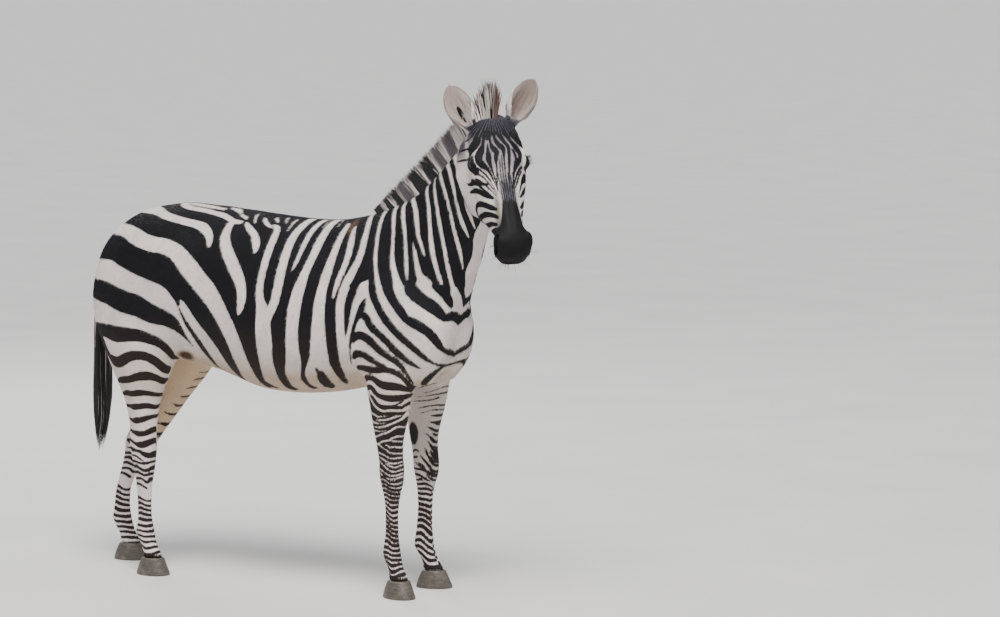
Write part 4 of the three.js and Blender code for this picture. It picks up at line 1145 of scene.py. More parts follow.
def markings(points, normals):
    """Signed distance into black, light and dark colour, and how bare the skin is."""
    head = region_masks(points)[0]
    x, y, z = points.T
    places = side_view(points)
    field = np.full(len(points), FAR)
    paint_strokes(field, places, WHITE_REAR + WHITE_FLECKS + WHITE_FLANK, -1)
    paint_strokes(field, places, widened(WHITE_NECK, 0.84), -1)
    for outline in (WHITE_REAR_GROUND, WHITE_FRONT_GROUND):
        field = np.minimum(field, -polygon_depth(places, outline))
    for strokes, scale in BLACK_STROKES:
        paint_strokes(field, places, widened(strokes, scale), 1)
    paint_strokes(field, places, BROWN_BELLY, 1)
    field = np.maximum(field, polygon_depth(places, KNEE_GROUND))
    paint_strokes(field, places, widened(WHITE_KNEE, 0.86), -1)
    field = throat_field(points, field)
    field = leg_bands(points, places, field)
    field, pale = inner_legs(points, normals, field)
    # middle lines of the back and the belly, and the groin
    upward = smoothstep(0.5, 0.9, normals[:, 2]) * (1 - head)
    aside = np.abs(side_of(points))
    back = np.where((x < 250) & (x > -790), 12 - aside, -FAR)
    field = np.maximum(field, back - 40 * (1 - upward))
    downward = smoothstep(-0.55, -0.85, normals[:, 2])
    under = np.where((x > -300) & (x < 330), 13 - aside, -FAR)
    belly = smoothstep(120, 70, aside) * downward * smoothstep(500, 380, np.abs(x))
    field = field - belly * 26
    field = np.maximum(field, under - 40 * (1 - downward))
    groin = smoothstep(-180, -280, x) * smoothstep(960, 900, z) * smoothstep(110, 70, aside)
    groin = groin * smoothstep(-640, -560, x)
    field = field - 34 * groin * smoothstep(430, 470, z)
    # painted shade: a dark brown patch in the fold of the flank
    fold_shade = 1.25 - np.hypot((x + 418) / 34, (z - 778 - 0.15 * (x + 418)) / 19)
    fold_shade = np.clip(1.6 * fold_shade, 0, 1) * (np.abs(aside) > 60)
    dock = np.hypot(x + 800, y / 3) - 40
    tail = (x < -790) & (aside < 40) & (dock > 0)
    bars = 5.5 - 34 * np.abs(((z + 6 * np.sin(y / 8)) / 34 + 0.5) % 1 - 0.5)
    field = np.where(tail, np.where(aside < 7, 7 - aside, bars), field)
    low = smoothstep(860, 730, z)
    light = blend_colour(np.tile(LIGHT_HAIR, (len(points), 1)), BELLY_HAIR,
                         np.clip(low * downward + 0.35 * low * (z > 620) + groin * 0.7, 0, 1))
    light = blend_colour(light, INNER_HAIR, pale * 0.8 * (x > -380))
    light = blend_colour(light, HIND_INNER_HAIR, pale * (x <= -380))
    light = blend_colour(light, FOLD_SHADE_HAIR, fold_shade)
    brown = np.clip(smoothstep(860, 700, z) * 0.65 + 0.55 * smoothstep(0.6, 0, normals[:, 2])
                    * smoothstep(950, 840, z) + groin, 0, 1)
    dark = blend_colour(np.tile(DARK_HAIR, (len(points), 1)), BROWN_HAIR, brown)
    dark = blend_colour(dark, INNER_DARK, pale * (x < -380) * smoothstep(500, 620, z))
    dark = blend_colour(dark, WITHERS_BROWN, smoothstep(
        20, 9, np.hypot(x - 215, (z - 1240) / 1.6)) * (1 - head))
    # head
    head_mark, muzzle, bridge, tan = head_field(points, normals)
    edge = x - CHEEK_EDGE[0] + CHEEK_EDGE[2] * (z - CHEEK_EDGE[1])
    face = (head > 0.5) & (edge > 0)
    nape = ~face & (z > 1528)
    field = np.where(nape, 7 - 34 * np.abs(((z - 0.5 * x) / 34) % 1 - 0.5), field)
    # painted shadow: a thin dark line along the back of the cheek, where the jaw shades the neck
    line = np.where((z > 1255) & (z < 1440), 2.8 - np.abs(edge + 3), -FAR)
    field = np.where(face, head_mark, np.maximum(field, line))
    head = head * face
    u, _, w = to_head(points).T
    upper = smoothstep(-0.1, 0.3, normals @ HEAD_AXES[1]) * head
    light = blend_colour(light, FOREHEAD_HAIR, upper * smoothstep(250, 190, u)
                         * smoothstep(82, 62, np.abs(w)))
    light = blend_colour(light, CROWN_HAIR, upper * smoothstep(142, 66, u))
    light = blend_colour(light, BRIDGE_HAIR, bridge * head)
    light = blend_colour(light, TAN_HAIR, tan * head * 0.9)
    light = blend_colour(light, MUZZLE_SKIN, muzzle * head)
    dark = blend_colour(dark, MUZZLE_SKIN, muzzle * head)
    # ears: pale inside with a dark rim, striped outside
    _, away = ear_distance(points)
    for place in EAR_PLACES.values():
        along, opening, across = ear_axes(place)
        offset = points - place["base"]
        run = offset @ along / EAR_LENGTH
        half = np.interp(run, EAR[:, 0], EAR[:, 1]) * EAR_LENGTH * EAR_NARROWER
        on = (np.abs(offset @ across) < half + 6) & (np.abs(offset @ opening) < half + 6)
        on &= (run > 0.10) & (run < 1.05) & (away < 70)
        inside = smoothstep(-0.1, 0.3, normals @ opening)
        aside = offset @ across / half
        rim = smoothstep(0.80, 0.93, np.abs(aside)) * smoothstep(1.03, 0.97, np.abs(aside))
        # painted shade: a dark patch deep in the hollow of the ear
        hollow_shade = place["hollow_shade"] - np.hypot((aside - EAR_HOLLOW_SHADE[0]) / 0.15, (run - EAR_HOLLOW_SHADE[1]) / 0.17)
        outside = np.maximum(9 - np.abs(run - 0.80) * EAR_LENGTH, 12 - np.abs(run - 0.22) * 200)
        field = np.where(on, np.where(inside > 0.5, 14 * hollow_shade, outside), field)
        inner = blend_colour(light, EAR_INSIDE, inside * smoothstep(1.0, 0.75, np.abs(aside)))
        lean = -np.sign((place["base"] - POLL) @ HEAD_AXES[2]) * np.sign(across @ HEAD_AXES[2])
        long_hair = smoothstep(0.35, 0.75, aside * lean) * smoothstep(0.95, 0.6, run)
        inner = blend_colour(inner, EAR_RIM, rim * inside * 0.75)
        inner = blend_colour(inner, LIGHT_HAIR, 0.85 * long_hair * inside)
        streaks = smoothstep(0.3, 0.9, np.sin(aside * 17 + run * 5)) * inside
        streaks = streaks * (np.abs(aside) < 0.7)
        inner = blend_colour(inner, EAR_RIM, 0.4 * streaks * smoothstep(0.85, 0.5, run))
        light = np.where(on[:, None], inner, light)
    callus = np.hypot((x - 355) / 23, (z - 530) / 40)
    callus = smoothstep(1.1, 0.9, callus) * (np.abs(y) < 165) * smoothstep(
        0.1, 0.4, -normals[:, 1] * np.sign(y)) * (z < 620)
    light = blend_colour(light, CHESTNUT, callus)
    dark = blend_colour(dark, CHESTNUT, callus)
    bare = 0.75 * muzzle * head * smoothstep(395, 425, to_head(points)[:, 0])
    bare = np.clip(bare + callus, 0, 1)
    return field, light, dark, bare


# ---- materials -------------------------------------------------------------------------
class Nodes:
    """Short hand for building one material's nodes."""

    def __init__(self, name):
        self.material = bpy.data.materials.new(name)
        self.material.use_nodes = True
        self.tree = self.material.node_tree
        self.shader = self.tree.nodes["Principled BSDF"]
        self.place = self.add("ShaderNodeTexCoord").outputs["Object"]

    def add(self, kind, inputs=None, **settings):
        node = self.tree.nodes.new(kind)
        for key, value in settings.items():
            setattr(node, key, value)
        for key, value in (inputs or {}).items():
            if isinstance(value, bpy.types.NodeSocket):
                self.tree.links.new(value, node.inputs[key])
            else:
                node.inputs[key].default_value = value
        return node

    def maths(self, operation, first, second):
        return self.add("ShaderNodeMath", {0: first, 1: second}, operation=operation).outputs[0]

    def attribute(self, name, output):
        return self.add("ShaderNodeAttribute", attribute_name=name).outputs[output]

    def noise(self, scale, detail=3.0, place=None):
        return self.add("ShaderNodeTexNoise", {"Vector": place or self.place, "Scale": scale,
                                               "Detail": detail}).outputs["Fac"]

    def span(self, value, low, high, to_low, to_high, smooth=False):
        kind = "SMOOTHSTEP" if smooth else "LINEAR"
        return self.add("ShaderNodeMapRange", {
            "Value": value, "From Min": low, "From Max": high, "To Min": to_low,
            "To Max": to_high}, interpolation_type=kind).outputs["Result"]

    def mix(self, share, first, second, blend="MIX"):
        node = self.add("ShaderNodeMix", data_type="RGBA", blend_type=blend)
        for socket, value in ((0, share), (6, first), (7, second)):
            if isinstance(value, bpy.types.NodeSocket):
                self.tree.links.new(value, node.inputs[socket])
            else:
                node.inputs[socket].default_value = value
        return node.outputs[2]

    def scaled(self, colour, scale):
        """The colour times one number."""
        grey = self.add("ShaderNodeCombineColor", {0: scale, 1: scale, 2: scale})
        return self.mix(1.0, colour, grey.outputs[0], "MULTIPLY")

    def bump(self, height, strength, distance):
        return self.add("ShaderNodeBump", {"Height": height, "Strength": strength,
                                           "Distance": distance}).outputs["Normal"]

    def set(self, **sockets):
        for key, value in sockets.items():
            socket = self.shader.inputs[key.replace("_", " ")]
            if isinstance(value, bpy.types.NodeSocket):
                self.tree.links.new(value, socket)
            else:
                socket.default_value = value
        return self.material


def grey(value):
    return (value, value, value, 1)


def hide_material():
    n = Nodes("hide")
    stretch = n.add("ShaderNodeMapping", {"Vector": n.place, "Scale": (1.0, 1.0, 0.35)})
    hairs = n.noise(900.0, 4.0, stretch.outputs[0])
    edge = n.span(n.noise(260.0, 3.0, stretch.outputs[0]), 0.3, 0.7, -1.1, 1.1)
    mark = n.maths("ADD", n.attribute("mark", "Fac"), edge)
    share = n.span(mark, -1.3, 1.3, 0.0, 1.0, smooth=True)
    colour = n.mix(share, n.attribute("light", "Color"), n.attribute("dark", "Color"))
    patches = n.span(n.noise(14.0, 4.0), 0.3, 0.7, 0.90, 1.06)
    fine = n.span(hairs, 0.25, 0.75, 0.86, 1.12)
    colour = n.scaled(colour, n.maths("MULTIPLY", patches, fine))
    bare = n.attribute("bare", "Fac")
    rough = n.maths("ADD", n.span(hairs, 0.2, 0.8, 0.50, 0.66), n.maths("MULTIPLY", bare, 0.08))
    height = n.maths("MULTIPLY", hairs, n.maths("SUBTRACT", 1.0, bare))
    pores = n.maths("MULTIPLY", n.noise(420.0, 2.0), bare)
    return n.set(Base_Color=colour, Roughness=rough, Specular_IOR_Level=0.2,
                 Normal=n.bump(n.maths("ADD", height, pores), 0.45, 0.0012))


def horn_material():
    n = Nodes("horn")
    flat = n.add("ShaderNodeMapping", {"Vector": n.place, "Scale": (0.6, 0.6, 6.0)})
    rings = n.noise(60.0, 3.0, flat.outputs[0])
    down = n.add("ShaderNodeMapping", {"Vector": n.place, "Scale": (6.0, 6.0, 0.4)})
    grain = n.noise(90.0, 3.0, down.outputs[0])
    mixed = n.maths("MULTIPLY", n.maths("ADD", rings, grain), 0.5)
    colour = n.mix(n.span(mixed, 0.35, 0.65, 0.0, 1.0), (0.035, 0.029, 0.026, 1),
                   (0.115, 0.095, 0.078, 1))
    dusty = n.span(n.noise(25.0), 0.5, 0.75, 0.0, 0.45)
    colour = n.mix(dusty, colour, (0.26, 0.21, 0.16, 1))
    return n.set(Base_Color=colour, Roughness=n.span(mixed, 0.3, 0.7, 0.38, 0.6),
                 Normal=n.bump(mixed, 0.5, 0.0012))


def long_hair_material():
    n = Nodes("long_hair")
    strand = n.noise(700.0, 3.0)
    colour = n.scaled(n.attribute("hair", "Color"), n.span(strand, 0.25, 0.75, 0.72, 1.25))
    return n.set(Base_Color=colour, Roughness=n.span(strand, 0.2, 0.8, 0.42, 0.62),
                 Specular_IOR_Level=0.4, Normal=n.bump(strand, 0.5, 0.0008))


def eye_material():
    """Dark brown iris with a wide dark pupil, by the look direction stored on the points."""
    n = Nodes("eye")
    reach = n.attribute("iris", "Fac")
    streaks = n.noise(420.0, 4.0)
    iris = n.mix(n.span(streaks, 0.3, 0.7, 0.0, 1.0), (0.018, 0.009, 0.005, 1),
                 (0.045, 0.022, 0.011, 1))
    ringed = n.mix(n.span(reach, 0.52, 0.60, 0.0, 1.0, True), (0.002, 0.002, 0.003, 1), iris)
    white = n.mix(n.span(reach, 0.98, 1.08, 0.0, 1.0, True), ringed, (0.10, 0.07, 0.055, 1))
    return n.set(Base_Color=white, Roughness=n.span(streaks, 0.0, 1.0, 0.10, 0.16),
                 Coat_Weight=0.8, Coat_Roughness=0.04,
                 Normal=n.bump(streaks, 0.06, 0.0002))


def floor_material():
    n = Nodes("floor")
    cloud = n.noise(1.6, 4.0)
    colour = n.mix(n.span(cloud, 0.3, 0.7, 0.0, 1.0), (0.66, 0.645, 0.625, 1),
                   (0.70, 0.685, 0.66, 1))
    return n.set(Base_Color=colour, Roughness=n.span(cloud, 0.2, 0.8, 0.75, 0.9),
                 Normal=n.bump(n.noise(40.0), 0.08, 0.004))


HIDE = hide_material()
HORN = horn_material()
LONG_HAIR = long_hair_material()
CORNEA = eye_material()


def give_number(obj, name, values):
    values = np.ascontiguousarray(values, np.float32)
    if values.ndim == 1:
        layer = obj.data.attributes.new(name, "FLOAT", "POINT")
        layer.data.foreach_set("value", values)
    else:
        layer = obj.data.attributes.new(name, "FLOAT_COLOR", "POINT")
        opaque = np.hstack([values, np.ones((len(values), 1), np.float32)])
        layer.data.foreach_set("color", opaque.ravel())


def give_markings(obj, *marking):
    for name, values in zip(("mark", "light", "dark", "bare"), marking):
        give_number(obj, name, values)


def add_piece(obj, material, nodes=()):
    obj.data.materials.append(material)
    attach(obj, "root")
    if nodes:
        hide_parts(*nodes)
    return obj


# ---- build -----------------------------------------------------------------------------
skin_points, skin_faces = build_skin()
skin = make_object("skin", skin_points, skin_faces)
skin_normals = vertex_normals(skin_points, skin_faces)
give_markings(skin, *markings(skin_points, skin_normals))
add_piece(skin, HIDE, FLESH + EARS)


def build_eye(name, side):
    """A round globe with the clear bulge of the cornea, turned out and a little forward."""
    axes = eye_frame(side)
    rings = []
    for angle in np.linspace(0.04, math.pi - 0.04, 40):
        turn = np.arange(48) * 2 * math.pi / 48
        bulge = 1 + 0.045 * smoothstep(0.75, 0.2, angle)
        ring = np.stack([np.sin(angle) * np.cos(turn), np.sin(angle) * np.sin(turn),
                         np.full(48, math.cos(angle) * bulge)], 1)
        rings.append(from_head(EYES[side] + ring * EYE_RADIUS @ axes))
    points, faces = close_rings(np.array(rings))
    eye = make_object(name, points, faces)
    local = (to_head(points) - EYES[side]) @ axes.T
    give_number(eye, "iris", np.hypot(local[:, 0] / 12.5, local[:, 1] / 12.5)
                + 3 * (local[:, 2] < 0))
    return eye


for side, name in ((1, "left"), (-1, "right")):
    add_piece(build_eye("globe_" + name, side), CORNEA, ["eye_" + name])


# ---- hooves ----------------------------------------------------------------------------
# height, back, front, half width; the same rows as the solids, with a worn sole edge
HOOF = smooth_rows([(0, -31, 92, 43.5), (1.6, -33.4, 94.6, 45.6), (6, -33.6, 94.6, 45.6),
                    (19, -29.5, 88.8, 43.2), (32, -25, 82.6, 40.8), (46, -18.5, 76.5, 37.6),
                    (56, -13.6, 71.6, 35.2), (59.2, -11, 68.5, 33.6)], 5)
FORE_APART, HIND_APART = 112.0, 113.0
TOE_OUT = {"fore_right": 20, "fore_left": 10, "hind_right": 8, "hind_left": 8}


def build_hoof(name):
    fore, side = "fore" in name, 1 if "left" in name else -1
    foot_x = FORE_FOOT_X if fore else HIND_FOOT_X - LEFT_HIND_SETBACK * (side > 0)
    apart = FORE_APART if fore else HIND_APART
    turn = math.radians(TOE_OUT[name])
    angle = np.arange(72) * 2 * math.pi / 72
    rings = []
    for height, back, front, half in HOOF:
        grooves = 0.35 * math.sin(height * 1.15) * smoothstep(4, 12, height)
        heel = 1 - 0.10 * np.exp(-((np.cos(angle) + 1) / 0.05) ** 2)
        forward = (front + back) / 2 + ((front - back) / 2 + grooves) * np.cos(angle) * heel
        out = (half + grooves) * np.sign(np.sin(angle)) * np.abs(np.sin(angle)) ** 0.92
        rings.append(np.stack([
            foot_x + forward * math.cos(turn) - out * math.sin(turn),
            side * (apart + forward * math.sin(turn) + out * math.cos(turn)),
            np.full(72, height)], 1))
    return make_object("horn_" + name, *close_rings(np.array(rings)))


for node in HOOVES:
    add_piece(build_hoof(node.replace("hoof_", "")), HORN, [node])

# ---- strands: every tuft, lock, lash and whisker ----------------------------------------
RANDOM = np.random.default_rng(7)
PATCH = 0.003                      # size of one strand on its piece's map


def strands(path, side, width, thick):
    """Closed three-sided strands. path is strand, level, xyz and its last level is the tip;
    side lies across them; width and thick are one number for each strand and level."""
    count, levels = path.shape[:2]
    rings = levels - 1
    along = unit(np.gradient(path, axis=1))
    side = side[:, None] - along * np.einsum("ij,ikj->ik", side, along)[..., None]
    side = unit(side)
    third = np.cross(along, side)
    corners = [path + side * (across * width[..., None]) + third * (above * thick[..., None])
               for across, above in ((-0.5, -0.35), (0.5, -0.35), (0.0, 0.65))]
    ringed = np.stack(corners, 2)[:, :-1].reshape(count, -1, 3)
    points = np.concatenate([ringed, path[:, -1:]], 1)
    faces = [(0, 2, 1)]
    for low in range(0, 3 * (rings - 1), 3):
        for first, second in ((0, 1), (1, 2), (2, 0)):
            faces.append((low + first, low + second, low + second + 3))
            faces.append((low + first, low + second + 3, low + first + 3))
    top = 3 * rings - 3
    faces += [(top, top + 1, top + 3), (top + 1, top + 2, top + 3), (top + 2, top, top + 3)]
    size = points.shape[1]
    faces = np.arange(count)[:, None, None] * size + np.array(faces)
    return points.reshape(-1, 3), faces.reshape(-1, 3), size


def unwrap(roots, along):
    """Share of the way along a part, and of the turn around its middle line."""
    run = roots @ along
    share = (run - run.min()) / np.ptp(run)
    slices = 16
    slot = np.minimum((share * slices).astype(int), slices - 1)
    count = np.maximum(np.bincount(slot, minlength=slices), 1)
    places = (np.arange(slices) + 0.5) / slices
    middle = np.stack([np.interp(share, places, np.bincount(slot, roots[:, axis], slices) / count)
                       for axis in range(3)], 1)
    first = unit(np.cross(along, [0.1, 1.0, 0.05]))
    offset = roots - middle
    turn = np.arctan2(offset @ first, offset @ np.cross(along, first)) / (2 * math.pi) + 0.5
    return np.stack([share, turn], 1)


def give_map(obj, spots, size):
    """The map for baking: one small patch for each strand at its root's place."""
    rings = (size - 1) // 3
    local = [(corner, (ring + 0.3 * (corner == 0.5)) / rings)
             for ring in range(rings) for corner in (0.0, 1.0, 0.5)] + [(0.5, 1.0)]
    spread = (spots * (1 - 2 * PATCH))[:, None] + np.array(local) * PATCH
    corner_of = np.empty(len(obj.data.loops), np.int32)
    obj.data.loops.foreach_get("vertex_index", corner_of)
    layer = obj.data.uv_layers.new(name="OFBake")
    layer.data.foreach_set("uv", spread.reshape(-1, 2)[corner_of].astype(np.float32).ravel())


def add_hair(name, points, faces, colour, spots, size, nodes=()):
    obj = make_object(name, points, faces, smooth=False)
    give_number(obj, "hair", colour)
    give_map(obj, spots, size)
    add_piece(obj, LONG_HAIR, nodes)


# ---- the coat --------------------------------------------------------------------------
# length, width, lift from the skin in degrees, area of skin for each tuft
TUFTS = {"trunk": (11.5, 2.4, 7.0, 19.0), "neck": (11.0, 2.3, 8.0, 16.0),
         "leg": (5.6, 1.7, 7.0, 10.0), "head": (6.0, 1.4, 6.0, 7.2), "ears": (8.5, 1.2, 8.0, 8.0)}


def lie_of_coat(points, normals):
    """The way the hair runs at each point of the skin."""
    head, neck, legs = region_masks(points)
    leg = np.clip(sum(legs.values()), 0, 1)
    x, _, z = points.T
    flank = smoothstep(0.95, 0.3, normals[:, 2])
    breast = smoothstep(470, 560, x) * smoothstep(0.2, 0.7, normals[:, 0])
    haunch = smoothstep(-560, -700, x)
    back = 1 - np.maximum(breast, 0.8 * haunch)
    flow = np.stack([-0.9 * back, 0 * x, -0.12 - 0.6 * flank - breast - 0.6 * haunch], 1)
    flow = blend_colour(flow, np.array([-0.6, 0, -0.8]), neck)
    flow = blend_colour(flow, np.array([-0.12, 0, -1.0]), leg)
    u, v, w = to_head(points).T
    down = 2 * smoothstep(104, 138, u) - 1
    cheek = smoothstep(-15, -110, v)
    apart = 0.4 * np.sign(w) * smoothstep(0, 40, np.abs(w))
    face = np.stack([down * (1 - cheek) + 0.5 * cheek, -0.9 * cheek, apart * (1 - cheek)], 1)
    flow = blend_colour(flow, face @ HEAD_AXES, head)
    share, away = ear_distance(points)
    for place in EAR_PLACES.values():
        along = ear_axes(place)[0]
        run = np.clip((points - place["base"]) @ along, 0, EAR_LENGTH)
        mine = np.linalg.norm(points - place["base"] - run[:, None] * along, axis=1) <= away + 1e-6
        flow = blend_colour(flow, along, mine * smoothstep(0.02, 0.14, share)
                            * smoothstep(66, 58, away))
    flow = flow - normals * (flow * normals).sum(1)[:, None]
    flow = unit(flow)
    swirl = 0.16 * np.sin(x / 43 + z / 61) + 0.12 * np.sin(x / 19 - z / 27 + points[:, 1] / 23)
    turn = (swirl + RANDOM.normal(0, 0.13, len(points)))[:, None]
    return flow * np.cos(turn) + np.cross(normals, flow) * np.sin(turn)


def coat_parts():
    """Which triangles of the skin each piece of the coat grows on."""
    centre = skin_points[skin_faces].mean(1)
    head, neck, legs = region_masks(centre)
    share, away = ear_distance(centre)
    across = to_head(centre)[:, 2]
    free = np.ones(len(centre), bool)
    masks = [("ears_right", "ears", (away < 60) & (share > 0.12) & (across < 0)),
             ("ears_left", "ears", (away < 60) & (share > 0.12) & (across >= 0)),
             ("head_right", "head", (head > 0.5) & (across < 0)),
             ("head_left", "head", (head > 0.5) & (across >= 0))]
    masks += [(name, "leg", mask > 0.5) for name, mask in legs.items()]
    masks.append(("neck", "neck", neck > 0.5))
    for end, part in (("rear", centre[:, 0] < -200), ("front", centre[:, 0] >= -200)):
        masks.append((end + "_right", "trunk", part & (centre[:, 1] < 0)))
        masks.append((end + "_left", "trunk", part & (centre[:, 1] >= 0)))
    for name, kind, mask in masks:
        yield name, kind, skin_faces[mask & free]
        free &= ~mask


def scatter(faces, area_each):
    """Random places on triangles of the skin, evenly spread, with the normals there."""
    a, b, c = skin_points[faces].transpose(1, 0, 2)
    area = np.linalg.norm(np.cross(b - a, c - a), axis=1) / 2
    count = np.floor(area / area_each + RANDOM.random(len(faces))).astype(int)
    faces = np.repeat(faces, count, axis=0)
    first, second = np.sqrt(RANDOM.random(len(faces))), RANDOM.random(len(faces))
    shares = np.stack([1 - first, first * (1 - second), first * second], 1)[..., None]
    return (skin_points[faces] * shares).sum(1), unit((skin_normals[faces] * shares).sum(1))


def tuft_size(points, normals):
    """How long the tufts are at each point, as a share of their kind's length; 0 is none."""
    head = region_masks(points)[0]
    u, v, w = to_head(points).T
    _, _, z = points.T
    size = np.ones(len(points))
    size = np.where(z < 300, 0.72 + 0.28 * smoothstep(80, 300, z), size)
    size = np.where(z < CORONET + 16, 1.7, size)
    fetlock = np.exp(-((z - 140) / 22) ** 2) * smoothstep(0.5, 0.9, -normals[:, 0]) * (z < 300)
    size = size + 1.1 * fetlock
    size = size * (1 - 0.4 * head * smoothstep(230, 380, u))
    away = eye_distance(points)
    size = size * (0.5 + 0.5 * smoothstep(24, 44, away)) * (away > EYE_RADIUS + 1.4)
    folded = np.stack([u, v, np.abs(w)], 1)
    nostril = path_distance(folded, NOSTRIL_SLIT)[0]
    mouth = path_distance(folded, MOUTH)[0]
    size = size * np.where(head > 0.5, (nostril > 8) & (mouth > 2.5), 1)
    return size * (z > CORONET - 1)


def build_coat(name, kind, faces):
    length, width, lift, cover = TUFTS[kind]
    roots, normals = scatter(faces, cover)
    flow = lie_of_coat(roots, normals)
    size = tuft_size(roots, normals)
    field, light, dark, bare = markings(roots + flow * length * 0.3, normals)
    keep = size > 0
    roots, normals, flow, size = roots[keep], normals[keep], flow[keep], size[keep]
    field, light, dark, bare = field[keep], light[keep], dark[keep], bare[keep]
    count = len(roots)
    size = size * RANDOM.uniform(0.75, 1.2, count)
    rise = np.radians(lift) * RANDOM.uniform(0.3, 1.5, count)
    ahead = flow * np.cos(rise)[:, None] + normals * np.sin(rise)[:, None]
    tip = roots + ahead * (length * size)[:, None]
    thick = np.repeat(0.28 * width * np.sqrt(size)[:, None], 2, axis=1)
    wide = np.repeat(width * np.sqrt(size)[:, None], 2, axis=1)
    points, triangles, each = strands(np.stack([roots, tip], 1), np.cross(normals, flow),
                                      wide, thick)
    obj = make_object("coat_" + name, points, triangles, smooth=False)
    tone = np.clip(RANDOM.normal(1.0, 0.09, count), 0.7, 1.3)[:, None]
    give_markings(obj, *(np.repeat(values, each, axis=0)
                         for values in (field, light * tone, dark * tone, bare)))
    give_map(obj, unwrap(roots, COAT_RUN[kind]), each)
    add_piece(obj, HIDE)


COAT_RUN = {"trunk": np.array([1.0, 0, 0]), "neck": NECK_RUN, "leg": np.array([0, 0, 1.0]),
            "head": HEAD_AXES[0], "ears": np.array([0, 0, 1.0])}
for part in coat_parts():
    build_coat(*part)


# ---- mane and forelock -------------------------------------------------------------------
MANE_HEIGHT = 84.0
# place along the crest's rows, height share, half thickness at the root
MANE = [(5.6, 0.12, 13), (8.8, 0.42, 16), (14.4, 0.82, 18), (21.6, 1.0, 19), (30.4, 1.0, 19),
        (39.2, 1.0, 15), (45.6, 1.05, 13)]
FORELOCK = [((-4, -4, 0), 1.5, 15), ((26, -6, 0), 1.15, 11)]
FORELOCK_LEAN = unit(np.array([-0.78, 0.62, 0]))
# x on the crest where the mane is black, and where it is mixed grey
MANE_BLACK = [(255, 302), (315, 340), (350, 382), (436, 480), (492, 530)]
MANE_GREY = [(386, 424), (542, 576), (588, 626), (664, 676)]
MANE_LOCKS = 3400
BLACK_LOCK = np.array([0.008, 0.0066, 0.007])
BROWN_LOCK = np.array([0.040, 0.022, 0.014])
CHESTNUT_LOCK = np.array([0.10, 0.045, 0.028])
WHITE_LOCK = np.array([0.58, 0.52, 0.49])
GREY_LOCK = np.array([0.085, 0.075, 0.08])


def mane_stations():
    """Root, up direction, height and half thickness along the mane, forelock last."""
    rows = []
    index = np.arange(len(CREST))
    for place, height, half in MANE:
        crest = np.array([np.interp(place, index, CREST[:, 0]), 0,
                          np.interp(place, index, CREST[:, 1])])
        throat = np.array([np.interp(place, index, THROAT[:, 0]), 0,
                           np.interp(place, index, THROAT[:, 1])])
        crest[1] = bend(crest)
        rows.append(np.hstack([crest, unit(crest - throat - [0, crest[1], 0]),
                               height * MANE_HEIGHT, half]))
    for place, height, half in FORELOCK:
        rows.append(np.hstack([from_head(place), FORELOCK_LEAN @ HEAD_AXES,
                               height * MANE_HEIGHT, half]))
    return smooth_rows(rows, 6)


def in_bands(value, bands):
    """1 inside any of the bands, falling to 0 over a few millimetres."""
    return np.max([smoothstep(low - 4, low + 4, value) * smoothstep(high + 4, high - 4, value)
                   for low, high in bands], axis=0)


def build_mane():
    stations = mane_stations()
    run = np.r_[0, np.cumsum(np.linalg.norm(np.diff(stations[:, :3], axis=0), axis=1))]
    at = RANDOM.uniform(0, run[-1], MANE_LOCKS)
    row = np.stack([np.interp(at, run, column) for column in stations.T], 1)
    ahead = np.stack([np.interp(at, run, column)
                      for column in np.gradient(stations[:, :3], run, axis=0).T], 1)
    root, up, height, half = row[:, :3], unit(row[:, 3:6]), row[:, 6], row[:, 7]
    ahead = unit(ahead)
    side = unit(np.cross(up, ahead))
    place = RANDOM.uniform(-1, 1, MANE_LOCKS)
    lean = unit(up + side * (0.10 * place + RANDOM.normal(0, 0.05, MANE_LOCKS))[:, None]
                + ahead * RANDOM.normal(-0.03, 0.09, MANE_LOCKS)[:, None])
    long = height * (1 - 0.22 * place**2) * RANDOM.uniform(0.80, 1.04, MANE_LOCKS) + 14
    start = root - up * 14 + side * (place * half * 0.86)[:, None]
    share = np.array([0, 0.4, 0.75, 1.0])
    bow = np.outer(RANDOM.normal(0, 2.0, MANE_LOCKS), share**2)
    path = start[:, None] + lean[:, None] * (long[:, None] * share)[..., None] \
        + ahead[:, None] * bow[..., None]
    wide = np.outer(RANDOM.uniform(3.2, 5.6, MANE_LOCKS), [1, 0.9, 0.55, 0.1])
    points, faces, each = strands(path, unit(ahead + side * 0.4), wide, wide * 0.5)
    shade = root[:, 0] + RANDOM.normal(0, 3, MANE_LOCKS)
    on_head = smoothstep(run[-1] - 112, run[-1] - 90, at)
    black = in_bands(shade, MANE_BLACK) * (1 - on_head)
    grey = in_bands(shade, MANE_GREY) * (1 - on_head)
    middle = smoothstep(0.28, 0.14, np.abs(place + 0.45))
    black = np.maximum(black, on_head * middle)
    colour = np.tile(WHITE_LOCK, (MANE_LOCKS, 1))
    colour = blend_colour(colour, GREY_LOCK, grey)
    colour = blend_colour(colour, CHESTNUT_LOCK, on_head * smoothstep(-0.02, 0.2, place) * 0.9)
    colour = blend_colour(colour, BLACK_LOCK, black)
    colour = colour * np.clip(RANDOM.normal(1, 0.16, MANE_LOCKS), 0.5, 1.5)[:, None]
    level = np.r_[np.repeat(share[:3], 3), 1.0]
    tip = np.tile(smoothstep(0.72, 1.0, level) * 0.5, MANE_LOCKS) * np.repeat(1 - on_head, each)
    colour = blend_colour(np.repeat(colour, each, axis=0), BROWN_LOCK, tip)
    spots = np.stack([at / run[-1], (place + 1) / 2], 1)
    add_hair("mane_hair", points, faces, colour, spots, each, ["mane"])


build_mane()


